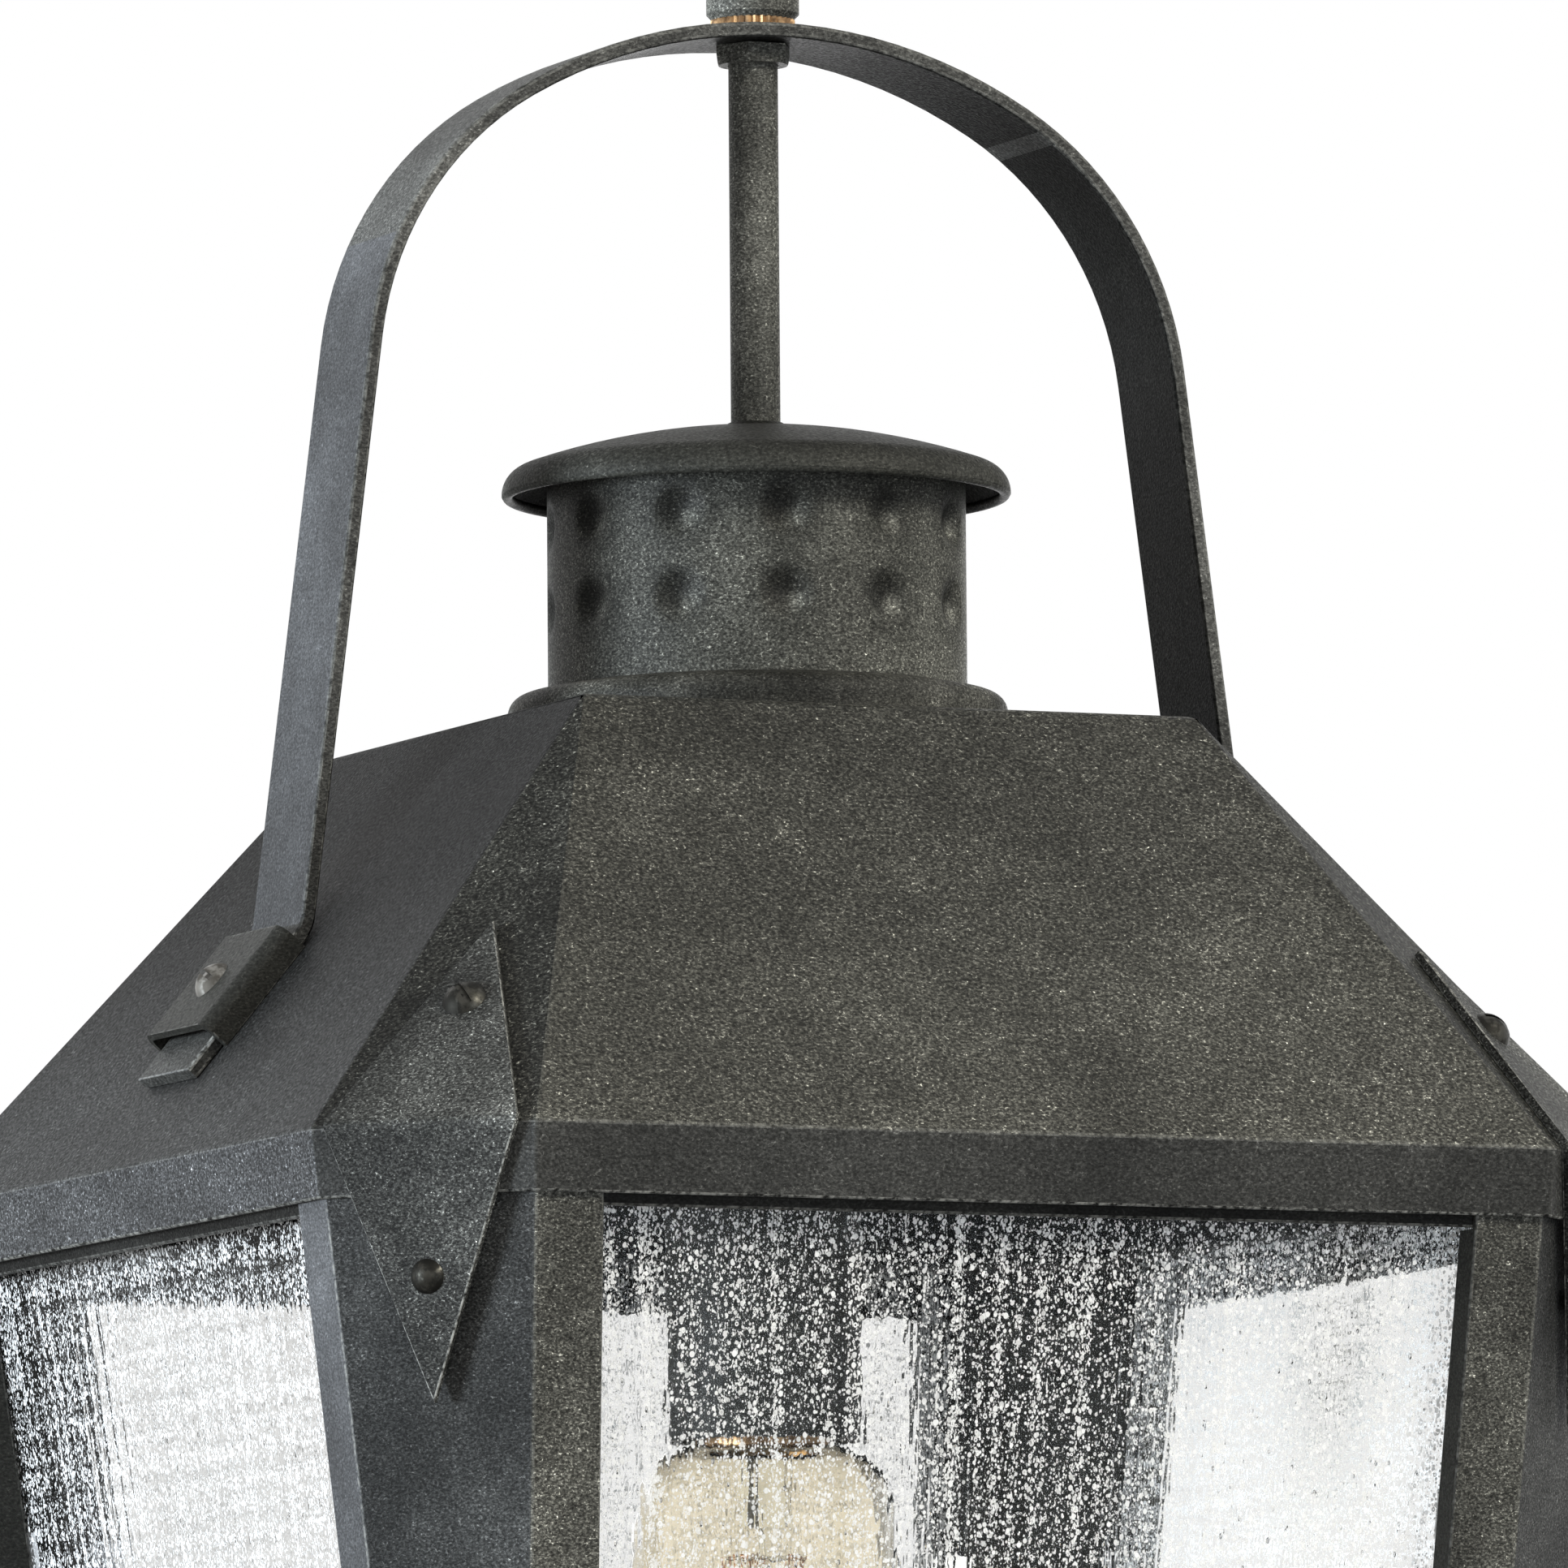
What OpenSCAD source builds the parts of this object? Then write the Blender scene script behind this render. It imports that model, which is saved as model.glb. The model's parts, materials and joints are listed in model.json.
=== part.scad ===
// Hanging porch lantern: four seeded panes in a leaning cage, a faceted roof with a dimpled chimney,
// a bent strap arch and a threaded stem that carries the lamp socket.
// The origin is the centre of the hanging eye, +Z is up and the front pane faces -Y.

/* [Hanging loop] */
// Bore of the cast eye that the chain or hook goes through
eye_bore_d = 20; // [16:1:26]
// Radial thickness of the eye
eye_wall = 6; // [4:0.5:8]
// Width of the eye along its bore
eye_width = 6.5; // [5:0.5:9]
// Diameter of the hub under the eye
hub_d = 19.3; // [17:0.1:24]
// Height of the hub
hub_h = 20; // [16:1:30]
// Depth of the hub's pocket for the stem
hub_pocket = 9; // [6:1:12]
// Bore of the hub over the stem, where the supply lead goes in
hub_inlet_d = 7.6; // [5:0.1:8]

/* [Stem] */
// Outside diameter of the threaded pipe
stem_d = 10.3; // [9:0.1:13]
// Bore of the pipe, which is the way for the supply lead
stem_bore = 6.8; // [5:0.1:8]
// Width of the lock nuts across their flats
nut_flats = 14.3; // [13:0.1:18]
// Thickness of the lock nuts
nut_t = 4; // [3:0.5:6]
// Diameter of the serrated washer
washer_d = 17.6; // [15:0.2:19]
// Thickness of the serrated washer
washer_t = 2.1; // [1.2:0.1:3]
// Serrations round the washer
washer_teeth = 36; // [24:4:48]

/* [Arch strap] */
// Width of the strap
strap_w = 28; // [22:1:34]
// Thickness of the strap
strap_t = 3; // [2:0.5:4]
// Height of the arch above the roof's top
arch_rise = 147.5; // [135:0.5:165]
// Outside radius of the crown of the arch
crown_r = 111.7; // [100:0.1:130]
// Outside radius of the shoulders
shoulder_r = 72.7; // [64:0.1:80]
// Half angle that the crown spans
crown_angle = 30.4; // [24:0.1:36]
// Lean of the legs away from upright
leg_splay = 7.4; // [5:0.1:9]
// Inside radius of the bend at the foot
foot_bend = 8; // [5:0.5:12]
// Length of the foot along the roof
foot_len = 37; // [32:1:46]

/* [Strap clips] */
// Length of a clip along the roof
clip_len = 27; // [22:1:34]
// Height of a clip over the roof
clip_h = 7; // [6:0.5:9]
// Distance from the end of the bend to the clip
clip_from_bend = 1.5; // [1:0.5:6]
// Gap beside the strap inside a clip
clip_gap = 0.9; // [0.4:0.1:1.5]

/* [Chimney] */
// Outside diameter of the tube
tube_d = 86.8; // [76:0.2:92]
// Dimples in a row round the tube
dimple_count = 12; // [8:2:16]
// Width of a dimple
dimple_w = 8; // [6:0.5:9]
// Depth of a dimple
dimple_depth = 1.8; // [1:0.1:2.2]
// Height of the lower row of dimples above the roof
dimple_low = 25.4; // [22:0.2:28]
// Distance between the two rows
dimple_pitch = 17.4; // [14:0.2:18]
// Outside diameter of the foot flange
flange_d = 103.6; // [98:0.2:112]
// Height of the foot flange
flange_h = 9.4; // [6:0.2:12]
// Outside diameter of the cap
cap_d = 105.6; // [100:0.2:116]
// Height of the cap's widest line above the roof
cap_line = 50.5; // [48:0.1:54]
// Rise of the dome above the widest line
dome_rise = 13.8; // [11:0.1:16]
// Radius of the dome's shoulder
roll_r = 6; // [4:0.1:7]
// Radius of the wired bead along the shoulder's edge
wire_r = 1.1; // [0.9:0.1:1.5]

/* [Roof] */
// Half the width of the flat top
top_half = 67.9; // [62:0.1:72]
// Height of the sloping part
roof_h = 93.5; // [84:0.5:104]
// Half the width at the top edge of the rim
rim_half = 145.4; // [138:0.2:152]
// Length of a corner facet along each side at the rim
rim_corner = 34.2; // [28:0.2:38]
// Height of the rim
rim_h = 13.9; // [11:0.1:18]
// Radius that the edges of the flat top are eased to
top_round = 4; // [2:0.5:6]
// Thickness of the sheet of the roof, posts, frames and chimney
sheet = 1.5; // [1:0.1:2]

/* [Cage] */
// Height of the cage under the rim
cage_h = 250; // [220:5:280]
// Inward lean of the sides in each unit of height
side_lean = 0.137; // [0.1:0.001:0.17]
// Narrowing of a corner facet's leg in each unit of height
corner_lean = 0.1; // [0.07:0.005:0.11]
// Width of a post's flange beside a pane
flange_w = 14.7; // [11:0.1:18]
// Depth of the fold behind the flange, up to the glass
fold_depth = 7.6; // [6:0.1:10]
// Width of the lip that the glass lies on
lip_w = 4.8; // [3.5:0.1:6]
// Thickness of the glass
glass_t = 3; // [2:0.5:4]
// Width of the ledge of the bottom frame
ledge_w = 22; // [19:1:28]
// Height of the band of the bottom frame
base_band_h = 18; // [12:1:24]
// Height of the top frame that shows under the rim
top_frame_show = 2.2; // [0:0.2:6]

/* [Corner kites] */
// Width of a kite at its bend
kite_w = 41; // [34:0.5:46]
// Length of the upper point along the roof
kite_up = 57; // [45:1:66]
// Length of the lower point along the post
kite_down = 55; // [45:1:66]
// Thickness of a kite
kite_t = 2; // [1.5:0.1:3]
// Distance of the screw above the bend
kite_screw_up = 34; // [24:1:38]
// Distance of the rivet below the bend
kite_rivet_down = 30; // [24:1:36]

/* [Fasteners] */
// Diameter of a screw's domed head
screw_head_d = 9; // [7:0.5:11]
// Height of a screw's domed head
screw_head_h = 2.8; // [2:0.1:3.5]
// Diameter of a screw's shank
screw_d = 4; // [3:0.5:5]
// Width of the slot in a screw's head
screw_slot = 1.2; // [0.8:0.1:1.4]
// Depth of the slot in a screw head
screw_slot_deep = 1.5; // [1:0.1:1.8]
// Turn of the slots of the clip screws from the slope's fall line
clip_slot_turn = 105; // [0:5:180]
// Turn of the slots of the kite screws from the facet's fall line
kite_slot_turn = 40; // [0:5:180]
// Diameter of a rivet's head
rivet_head_d = 7; // [6:0.5:9]
// Height of a rivet's head
rivet_head_h = 2; // [1.5:0.1:2.5]

/* [Socket and lamp] */
// Height of the cup's mouth under the rim's bottom edge
cup_drop = 38.6; // [30:0.2:46]
// Outside diameter of the socket cup
cup_d = 40; // [38:0.5:46]
// Length of the socket cup
cup_len = 58; // [54:1:66]
// Outside diameter of the lamp's screw base
base_d = 26; // [25.8:0.1:26.4]
// Length of the lamp's screw base
base_len = 24; // [22:0.5:26]
// Largest diameter of the glass envelope
bulb_d = 65; // [56:1:68]
// Length of the envelope under the cup
bulb_len = 105; // [96:1:124]
// Strands of the filament
filament_strands = 10; // [6:2:14]

/* [Hidden] */
$fn = 96;

// Clearance between parts that are fitted together and stay put
fit = 0.15;
// Gap at which a piece rests beside what holds it
rest_gap = 0.3;
// Reach of a cutting body that has to pass the whole lantern
reach = 800;

// Heights of the stack under the eye
hub_top = -eye_bore_d / 2 - 1;
hub_bottom = hub_top - hub_h;
arch_top = hub_bottom - washer_t;
roof_z = arch_top - arch_rise;
rim_z = roof_z - roof_h;
rim_bottom = rim_z - rim_h;
cage_bottom = rim_bottom - cage_h;

// Roof and side planes
roof_pitch = atan(roof_h / (rim_half - top_half));
top_diag = diag(top_half, 0);
rim_diag = diag(rim_half, rim_corner);
facet_pitch = atan(roof_h / (rim_diag - top_diag));
diag_lean = (2 * side_lean - corner_lean) / sqrt(2);
facet_lean = atan(diag_lean);

// Insets of the layers of the cage, measured square to the sides from the face of the rim
post_in = sheet + rest_gap;
frame_in = post_in + sheet;
fold_in = post_in + fold_depth;
glass_in = fold_in + rest_gap;
glass_lap = lip_w + rest_gap;
top_frame_z = rim_z - 4;
top_band_bottom = rim_bottom - top_frame_show;
ledge_top = cage_bottom + sheet;
post_top = top_frame_z;

// Straight stretches run this far into the round ones and are this much thinner, so that they join
round_lap = 1;
bend_lap = 0.4;
join_step = 0.01;

// The cap's bead lies this far inside the shoulder's outline, so that the two cross
bead_step = 0.12;

// Arch strap, in the plane of its curve
crown_centre = [0, arch_top - crown_r];
shoulder_centre = crown_centre + (crown_r - shoulder_r) * [sin(crown_angle), cos(crown_angle)];
leg_normal = [cos(leg_splay), sin(leg_splay)];
leg_dir = [sin(leg_splay), -cos(leg_splay)];
roof_normal = [sin(roof_pitch), cos(roof_pitch)];
roof_dir = [cos(roof_pitch), -sin(roof_pitch)];
bend_a = [top_half, roof_z] * roof_normal + strap_t + foot_bend;
bend_b = shoulder_centre * leg_normal + shoulder_r + foot_bend;
bend_det = leg_normal[0] * roof_normal[1] - leg_normal[1] * roof_normal[0];
bend_centre = [bend_b * roof_normal[1] - bend_a * leg_normal[1],
    bend_a * leg_normal[0] - bend_b * roof_normal[0]] / bend_det;
leg_start = shoulder_centre + shoulder_r * leg_normal;
leg_len = (bend_centre - foot_bend * leg_normal - leg_start) * leg_dir;
foot_start = bend_centre - foot_bend * roof_normal;
foot_slope = (foot_start - [top_half, roof_z]) * roof_dir;
strap_edge = strap_t / 6;
// The nut under the crown meets its hollow side with its corners
arch_nut_top = crown_centre[1] - join_step
    + sqrt(pow(crown_r - strap_t, 2) - pow(nut_flats / sqrt(3), 2));

// Clips over the feet, measured down the slope from the edge of the roof's top
clip_start = foot_slope + clip_from_bend;
clip_screw_at = clip_start + clip_len / 2;
clip_w = strap_w + 2 * clip_gap + 2 * sheet;

// Chimney
tube_r = tube_d / 2;
cap_r = cap_d / 2;
roll_x = cap_r - roll_r;
dome_top = roof_z + cap_line + dome_rise;
dome_k = dome_rise - roll_r;
dome_r = (roll_x * roll_x - dome_k * dome_k) / (2 * dome_k) + dome_k + roll_r;
dome_centre = dome_top - dome_r;
dome_angle = asin(roll_x / (dome_r - roll_r));
tube_top = dome_centre + sqrt(pow(dome_r - sheet, 2) - pow(tube_r, 2)) - rest_gap;
dimple_r = (pow(dimple_w / 2, 2) + dimple_depth * dimple_depth) / (2 * dimple_depth);

// Socket and lamp
cup_mouth = rim_bottom - cup_drop;
cup_top = cup_mouth + cup_len;
stem_end = cup_top - sheet - sheet - nut_t - 1;
socket_shell_r = base_d / 2 + 0.35;
shell_t = 0.5;
porcelain_r = cup_d / 2 - sheet - fit;
porcelain_bottom = cup_mouth + 4;
porcelain_top = cup_top - 17;
socket_depth = base_len + 6;
lamp_top = cup_mouth + base_len - 1;
tip_h = 5;
envelope_t = 0.8;
neck_r = base_d / 2 - 0.6;
tail_r = bulb_d / 2;
tail_centre = [0, cup_mouth - bulb_len + tail_r];
cheek_r = 12.5;
cheek_centre = [tail_r * 0.415, cup_mouth - cheek_r - 1];
mount_r = 5;
mount_bottom = cup_mouth - 18;
rod_r = 1.5;
cage_high = mount_bottom - 6;
cage_low = tail_centre[1] + 4;
filament_r = 0.3;
bead_r = filament_r * 1.5;
bead_half = filament_r * 3;
upper_ring = tail_r * 0.26;
lower_ring = tail_r * 0.42;
strap_screw_in = 6;
terminal_screw_in = 3.5;

function diag(half, corner) = (2 * half - corner) / sqrt(2);
function roof_half(z) = top_half + (roof_z - z) / tan(roof_pitch);
function roof_diag(z) = top_diag + (roof_z - z) / tan(facet_pitch);
function side_half(z) = rim_half - side_lean * (rim_z - z);
function side_diag(z) = rim_diag - diag_lean * (rim_z - z);
function inset_by(d, lean) = d * sqrt(1 + lean * lean);
// Half width of the flat part of a side of the cage at a height
function flat_half(z) = sqrt(2) * (side_diag(z) - inset_by(post_in, diag_lean))
    - (side_half(z) - inset_by(post_in, side_lean));
function window_half(z) = flat_half(z) - flange_w;
function polar(r, angle) = [r * cos(angle), r * sin(angle)];

// Long slab with two leaning sides
module slab(z_low, z_high, half_low, half_high) {
    rotate([90, 0, 0])
        linear_extrude(reach, center = true)
            polygon([[-half_low, z_low], [half_low, z_low], [half_high, z_high], [-half_high, z_high]]);
}

// Eight-sided block with leaning sides and corner facets
module leaning_block(z_low, z_high, half_low, half_high, diag_low, diag_high) {
    intersection() {
        slab(z_low, z_high, half_low, half_high);
        rotate([0, 0, 90])
            slab(z_low, z_high, half_low, half_high);
        rotate([0, 0, 45])
            slab(z_low, z_high, diag_low, diag_high);
        rotate([0, 0, -45])
            slab(z_low, z_high, diag_low, diag_high);
    }
}

// Block bounded by the roof's slopes, moved in by a distance
module roof_block(z_low, z_high, inset) {
    a = inset / sin(roof_pitch);
    d = inset / sin(facet_pitch);
    leaning_block(z_low, z_high, roof_half(z_low) - a, roof_half(z_high) - a,
        roof_diag(z_low) - d, roof_diag(z_high) - d);
}

// Solid with the outline of the roof and its rim, moved in by a distance
module roof_body(z_low, inset) {
    intersection() {
        roof_block(z_low, roof_z - inset, inset);
        side_block(z_low, roof_z - inset, inset);
    }
}

// Slab that takes a narrow facet off two edges of the roof's top, where the sheet is rounded
module top_ease(turn) {
    half_pitch = roof_pitch / 2;
    drop = top_round * (1 / cos(half_pitch) - 1) / cos(half_pitch);
    high = top_half - drop / tan(half_pitch);
    low = high + (roof_z - rim_bottom) / tan(half_pitch);
    rotate([0, 0, turn])
        slab(rim_bottom - 1, roof_z, low, high);
}

// Block bounded by the leaning sides of the rim and cage, moved in by a distance
module side_block(z_low, z_high, inset) {
    a = inset_by(inset, side_lean);
    d = inset_by(inset, diag_lean);
    leaning_block(z_low, z_high, side_half(z_low) - a, side_half(z_high) - a,
        side_diag(z_low) - d, side_diag(z_high) - d);
}

// Layer of the sides between two insets
module side_layer(z_low, z_high, inset, thickness) {
    difference() {
        side_block(z_low, z_high, inset);
        side_block(z_low - 1, z_high + 1, inset + thickness);
    }
}

// Prism through the front and back windows, widened by a margin on each side
module window_prism(z_low, z_high, margin) {
    slab(z_low, z_high, window_half(z_low) + margin, window_half(z_high) + margin);
}

// Both pairs of windows
module all_windows(z_low, z_high, margin) {
    for (turn = [0, 90])
        rotate([0, 0, turn])
            window_prism(z_low, z_high, margin);
}

// Strip beside each window, from its edge outwards
module window_edges(z_low, z_high, width) {
    for (turn = [0, 90])
        rotate([0, 0, turn])
            difference() {
                window_prism(z_low, z_high, width);
                window_prism(z_low - 1, z_high + 1, 0);
            }
}

module tube(r_out, r_in, z_low, z_high) {
    translate([0, 0, z_low])
        difference() {
            cylinder(r = r_out, h = z_high - z_low);
            translate([0, 0, -1])
                cylinder(r = r_in, h = z_high - z_low + 2);
        }
}

module hex_nut(z_top) {
    translate([0, 0, z_top - nut_t])
        difference() {
            intersection() {
                cylinder(d = nut_flats / cos(30), h = nut_t, $fn = 6);
                translate([0, 0, -nut_t / 2])
                    cylinder(d1 = nut_flats * 0.86, d2 = nut_flats * 1.5, h = nut_t * 2.2);
            }
            translate([0, 0, -1])
                cylinder(d = stem_d + 2 * fit, h = nut_t + 2);
        }
}

// Domed head with its flat side at zero
module dome_head(d, h) {
    r = (d * d / 4 + h * h) / (2 * h);
    intersection() {
        translate([0, 0, h - r])
            sphere(r = r);
        cylinder(d = d + 2, h = h + 1);
    }
}

// Slotted screw with its head's flat side at zero and its shank below
module slotted_screw(grip, slot_turn) {
    difference() {
        union() {
            dome_head(screw_head_d, screw_head_h);
            translate([0, 0, -grip])
                cylinder(d = screw_d, h = grip + 1);
        }
        rotate([0, 0, slot_turn])
            translate([-screw_head_d, -screw_slot / 2, screw_head_h - screw_slot_deep])
                cube([2 * screw_head_d, screw_slot, 2 * screw_slot_deep]);
    }
}

// Square nut for a screw, with its top face at zero
module small_nut() {
    side = screw_d * 2;
    translate([0, 0, -screw_d * 0.7])
        difference() {
            translate([-side / 2, -side / 2, 0])
                cube([side, side, screw_d * 0.7]);
            translate([0, 0, -1])
                cylinder(d = screw_d + 2 * fit, h = screw_d + 2);
        }
}

// Places its children on the roof's right or left slope, x down the slope and z square to it
module on_slope(side, down) {
    mirror([side < 0 ? 1 : 0, 0, 0])
        translate([top_half, 0, roof_z])
            rotate([0, roof_pitch, 0])
                translate([down, 0, 0])
                    children();
}

// Places its children at a corner's bend, x down the facet and z square to it
module on_facet(turn) {
    rotate([0, 0, turn])
        translate([rim_diag, 0, rim_z])
            rotate([0, facet_pitch, 0])
                children();
}

// Places its children at a corner's bend, x down the rim and z square to it
module on_corner(turn) {
    rotate([0, 0, turn])
        translate([rim_diag, 0, rim_z])
            rotate([0, 90 + facet_lean, 0])
                children();
}

module hanging_loop() {
    pocket_r = stem_d / 2 + fit;
    color("dimgray")
        difference() {
            union() {
                rotate([90, 0, 0])
                    rotate_extrude()
                        translate([eye_bore_d / 2 + eye_wall / 2, 0])
                            eye_section();
                translate([0, 0, hub_bottom + 1.2])
                    cylinder(d = hub_d, h = hub_h - 3.2);
                translate([0, 0, hub_bottom])
                    cylinder(d1 = hub_d - 2.4, d2 = hub_d, h = 1.2);
                translate([0, 0, hub_top - 2])
                    cylinder(d1 = hub_d, d2 = hub_d - 4, h = 2);
            }
            translate([0, 0, hub_bottom - 1])
                cylinder(r = pocket_r, h = hub_pocket + 1);
            translate([0, 0, hub_bottom])
                cylinder(d = hub_inlet_d, h = hub_h + 5);
        }
}

// Section of the eye: a flat land on the bore, chamfered inside and rounded outside
module eye_section() {
    half = eye_wall / 2;
    side = eye_width / 2;
    r = min(eye_wall, eye_width) * 0.35;
    polygon([[-half, 1 - side], [1 - half, -side], [half - r, -side], [half, r - side],
        [half, side - r], [half - r, side], [1 - half, side], [-half, side - 1]]);
    for (end = [-1, 1])
        translate([half - r, end * (side - r)])
            circle(r = r);
}

module serrated_washer() {
    outer = washer_d / 2;
    tooth = 0.7;
    color("darkgoldenrod")
        translate([0, 0, arch_top])
            difference() {
                linear_extrude(washer_t)
                    polygon([for (i = [0:2 * washer_teeth - 1])
                        polar(outer - (i % 2) * tooth, i * 180 / washer_teeth)]);
                translate([0, 0, -1])
                    cylinder(d = stem_d + 2 * fit, h = washer_t + 2);
            }
}

// Cross section of the strap, its outer face at x = 0 and its thickness towards -x, thinned by a step
module strap_section(step) {
    w = strap_w / 2 - step;
    outer = -step;
    inner = step - strap_t;
    e = strap_edge;
    polygon([[inner, -w + e], [inner + e, -w], [outer - e, -w], [outer, -w + e],
        [outer, w - e], [outer - e, w], [inner + e, w], [inner, w - e]]);
}

// Round stretch of the strap about a centre, the outer face at radius r, or inside it on a reverse bend
module strap_round(centre, r, from, sweep, step, reverse = false) {
    translate([centre[0], 0, centre[1]])
        rotate([90, 0, 0])
            rotate([0, 0, from])
                rotate_extrude(angle = sweep, $fn = 180)
                    translate([r, 0])
                        mirror([reverse ? 1 : 0, 0])
                            strap_section(step);
}

// Straight stretch of the strap from a point on its outer face, with laps into the stretches beside it
module strap_straight(start, normal_angle, len, lap_start, lap_end) {
    translate([start[0], 0, start[1]])
        rotate([0, -normal_angle, 0])
            rotate([180, 0, 0])
                translate([0, 0, -lap_start])
                    linear_extrude(lap_start + len + lap_end)
                        strap_section(2 * join_step);
}

module arch_strap() {
    color("dimgray")
        difference() {
            union() {
                strap_round(crown_centre, crown_r, 90 - crown_angle, 2 * crown_angle, 0);
                for (side = [0, 1])
                    mirror([side, 0, 0]) {
                        strap_round(shoulder_centre, shoulder_r, leg_splay,
                            90 - crown_angle - leg_splay + round_lap, join_step);
                        strap_straight(leg_start, leg_splay, leg_len, round_lap, bend_lap);
                        strap_round(bend_centre, foot_bend, 180 + leg_splay,
                            90 - roof_pitch - leg_splay, 0, reverse = true);
                        strap_straight(foot_start, 90 - roof_pitch, foot_len, bend_lap, 0);
                    }
            }
            translate([0, 0, arch_top - 2 * strap_t])
                cylinder(d = stem_d + 2 * fit, h = 4 * strap_t);
            for (side = [-1, 1])
                on_slope(side, clip_screw_at)
                    cylinder(d = screw_d + 2 * fit, h = 3 * strap_t, center = true);
        }
}

module arch_lock_nut() {
    color("dimgray")
        hex_nut(arch_nut_top);
}

module stem_pipe() {
    color("dimgray")
        tube(stem_d / 2, stem_bore / 2, stem_end, hub_bottom + hub_pocket - rest_gap);
}

// Nuts on the hidden part of the stem: under the dome, under the roof and on both sides of the cup's top
module stem_lock_nuts() {
    color("silver") {
        hex_nut(dome_top - sheet - 0.6);
        hex_nut(roof_z - sheet);
        hex_nut(cup_top + nut_t);
        hex_nut(cup_top - 2 * sheet);
    }
}

// Half outline of the dome's sheet, from the axis to the rolled edge
module cap_dome() {
    far = dome_r + 9;
    intersection() {
        translate([0, dome_centre])
            difference() {
                circle(r = dome_r, $fn = 360);
                circle(r = dome_r - sheet, $fn = 360);
            }
        polygon([[0, dome_centre], [0, dome_top + 5],
            [far * sin(dome_angle), dome_centre + far * cos(dome_angle)]]);
    }
}

// Half outline of the shoulder, which starts inside the dome's sheet and ends in a wired bead
module cap_roll() {
    first = 93 - dome_angle;
    far = 4 * roll_r;
    translate([roll_x, roof_z + cap_line]) {
        intersection() {
            difference() {
                circle(r = roll_r - join_step);
                circle(r = roll_r - sheet + join_step);
            }
            polygon([[0, 0], polar(far, first), polar(far, first / 2), polar(far, -2)]);
        }
        translate([roll_r - wire_r - bead_step, -bead_step])
            circle(r = wire_r);
    }
}

module chimney_cap() {
    neck = 1.6;
    color("dimgray")
        difference() {
            union() {
                rotate_extrude() {
                    cap_dome();
                    cap_roll();
                }
                translate([0, 0, dome_top - 0.6])
                    cylinder(d1 = stem_d + 5, d2 = stem_d + 1.2, h = neck);
            }
            translate([0, 0, dome_top - 10])
                cylinder(d = stem_d + 2 * fit, h = 20);
        }
}

module chimney_tube() {
    inner_r = tube_r - sheet;
    rows = [dimple_low, dimple_low + dimple_pitch];
    color("dimgray")
        difference() {
            union() {
                tube(tube_r, inner_r, roof_z, tube_top);
                intersection() {
                    dimples(rows, dimple_r + sheet);
                    tube(tube_r - sheet / 2, inner_r - 4, roof_z, tube_top);
                }
            }
            dimples(rows, dimple_r);
        }
}

// Balls that press the dimples into the tube
module dimples(rows, r) {
    for (z = rows, i = [0:dimple_count - 1])
        rotate([0, 0, (i + 0.5) * 360 / dimple_count])
            translate([tube_r + dimple_r - dimple_depth, 0, roof_z + z])
                sphere(r = r);
}

module chimney_flange() {
    outer = flange_d / 2;
    inner = tube_r + fit;
    edge_r = min(4, flange_h * 0.45);
    shoulder = flange_h - 0.9;
    color("dimgray")
        translate([0, 0, roof_z])
            rotate_extrude() {
                translate([inner, 0])
                    square([outer - inner, shoulder - edge_r]);
                translate([outer - edge_r, shoulder - edge_r])
                    circle(r = edge_r);
                polygon([[inner, 0], [outer - edge_r, 0], [outer - edge_r, shoulder], [inner, flange_h]]);
            }
}

module roof_shell() {
    color("dimgray")
        difference() {
            intersection() {
                roof_body(rim_bottom, 0);
                top_ease(0);
                top_ease(90);
            }
            roof_body(rim_bottom - 1, sheet);
            translate([0, 0, roof_z - 2 * sheet])
                cylinder(d = stem_d + 2 * fit, h = 4 * sheet);
            for (side = [-1, 1])
                on_slope(side, clip_screw_at)
                    cylinder(d = screw_d + 2 * fit, h = 6 * sheet, center = true);
            for (turn = [45:90:315])
                on_facet(turn)
                    translate([-kite_screw_up, 0, 0])
                        cylinder(d = screw_d + 2 * fit, h = 6 * sheet, center = true);
        }
}

// Channel section of a clip, open towards the roof, with rounded folds
module clip_section(inset) {
    w = clip_w - 2 * inset;
    h = clip_h - inset;
    r = 2 * sheet - inset;
    union() {
        translate([-w / 2, 0])
            square([w, h - r]);
        translate([-w / 2 + r, 0])
            square([w - 2 * r, h]);
        for (side = [-1, 1])
            translate([side * (w / 2 - r), h - r])
                circle(r = r);
    }
}

module strap_clip(side) {
    color("dimgray")
        on_slope(side, clip_start)
            difference() {
                rotate([90, 0, 90])
                    linear_extrude(clip_len)
                        difference() {
                            clip_section(0);
                            translate([0, -0.01])
                                clip_section(sheet);
                        }
                translate([clip_len / 2, 0, 0])
                    cylinder(d = screw_d + 2 * fit, h = 2 * clip_h);
            }
}

module strap_clip_left() {
    strap_clip(-1);
}

module strap_clip_right() {
    strap_clip(1);
}

module clip_screws() {
    color("slategray")
        for (side = [-1, 1])
            on_slope(side, clip_screw_at)
                translate([0, 0, clip_h])
                    slotted_screw(clip_h + sheet + 4, clip_slot_turn);
}

module clip_nuts() {
    color("silver")
        for (side = [-1, 1])
            on_slope(side, clip_screw_at)
                translate([0, 0, -sheet])
                    small_nut();
}

// Triangle of a kite, its wide side on the y axis and its point at x = len
module kite_point(len) {
    polygon([[0, -kite_w / 2], [len, 0], [0, kite_w / 2]]);
}

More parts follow.
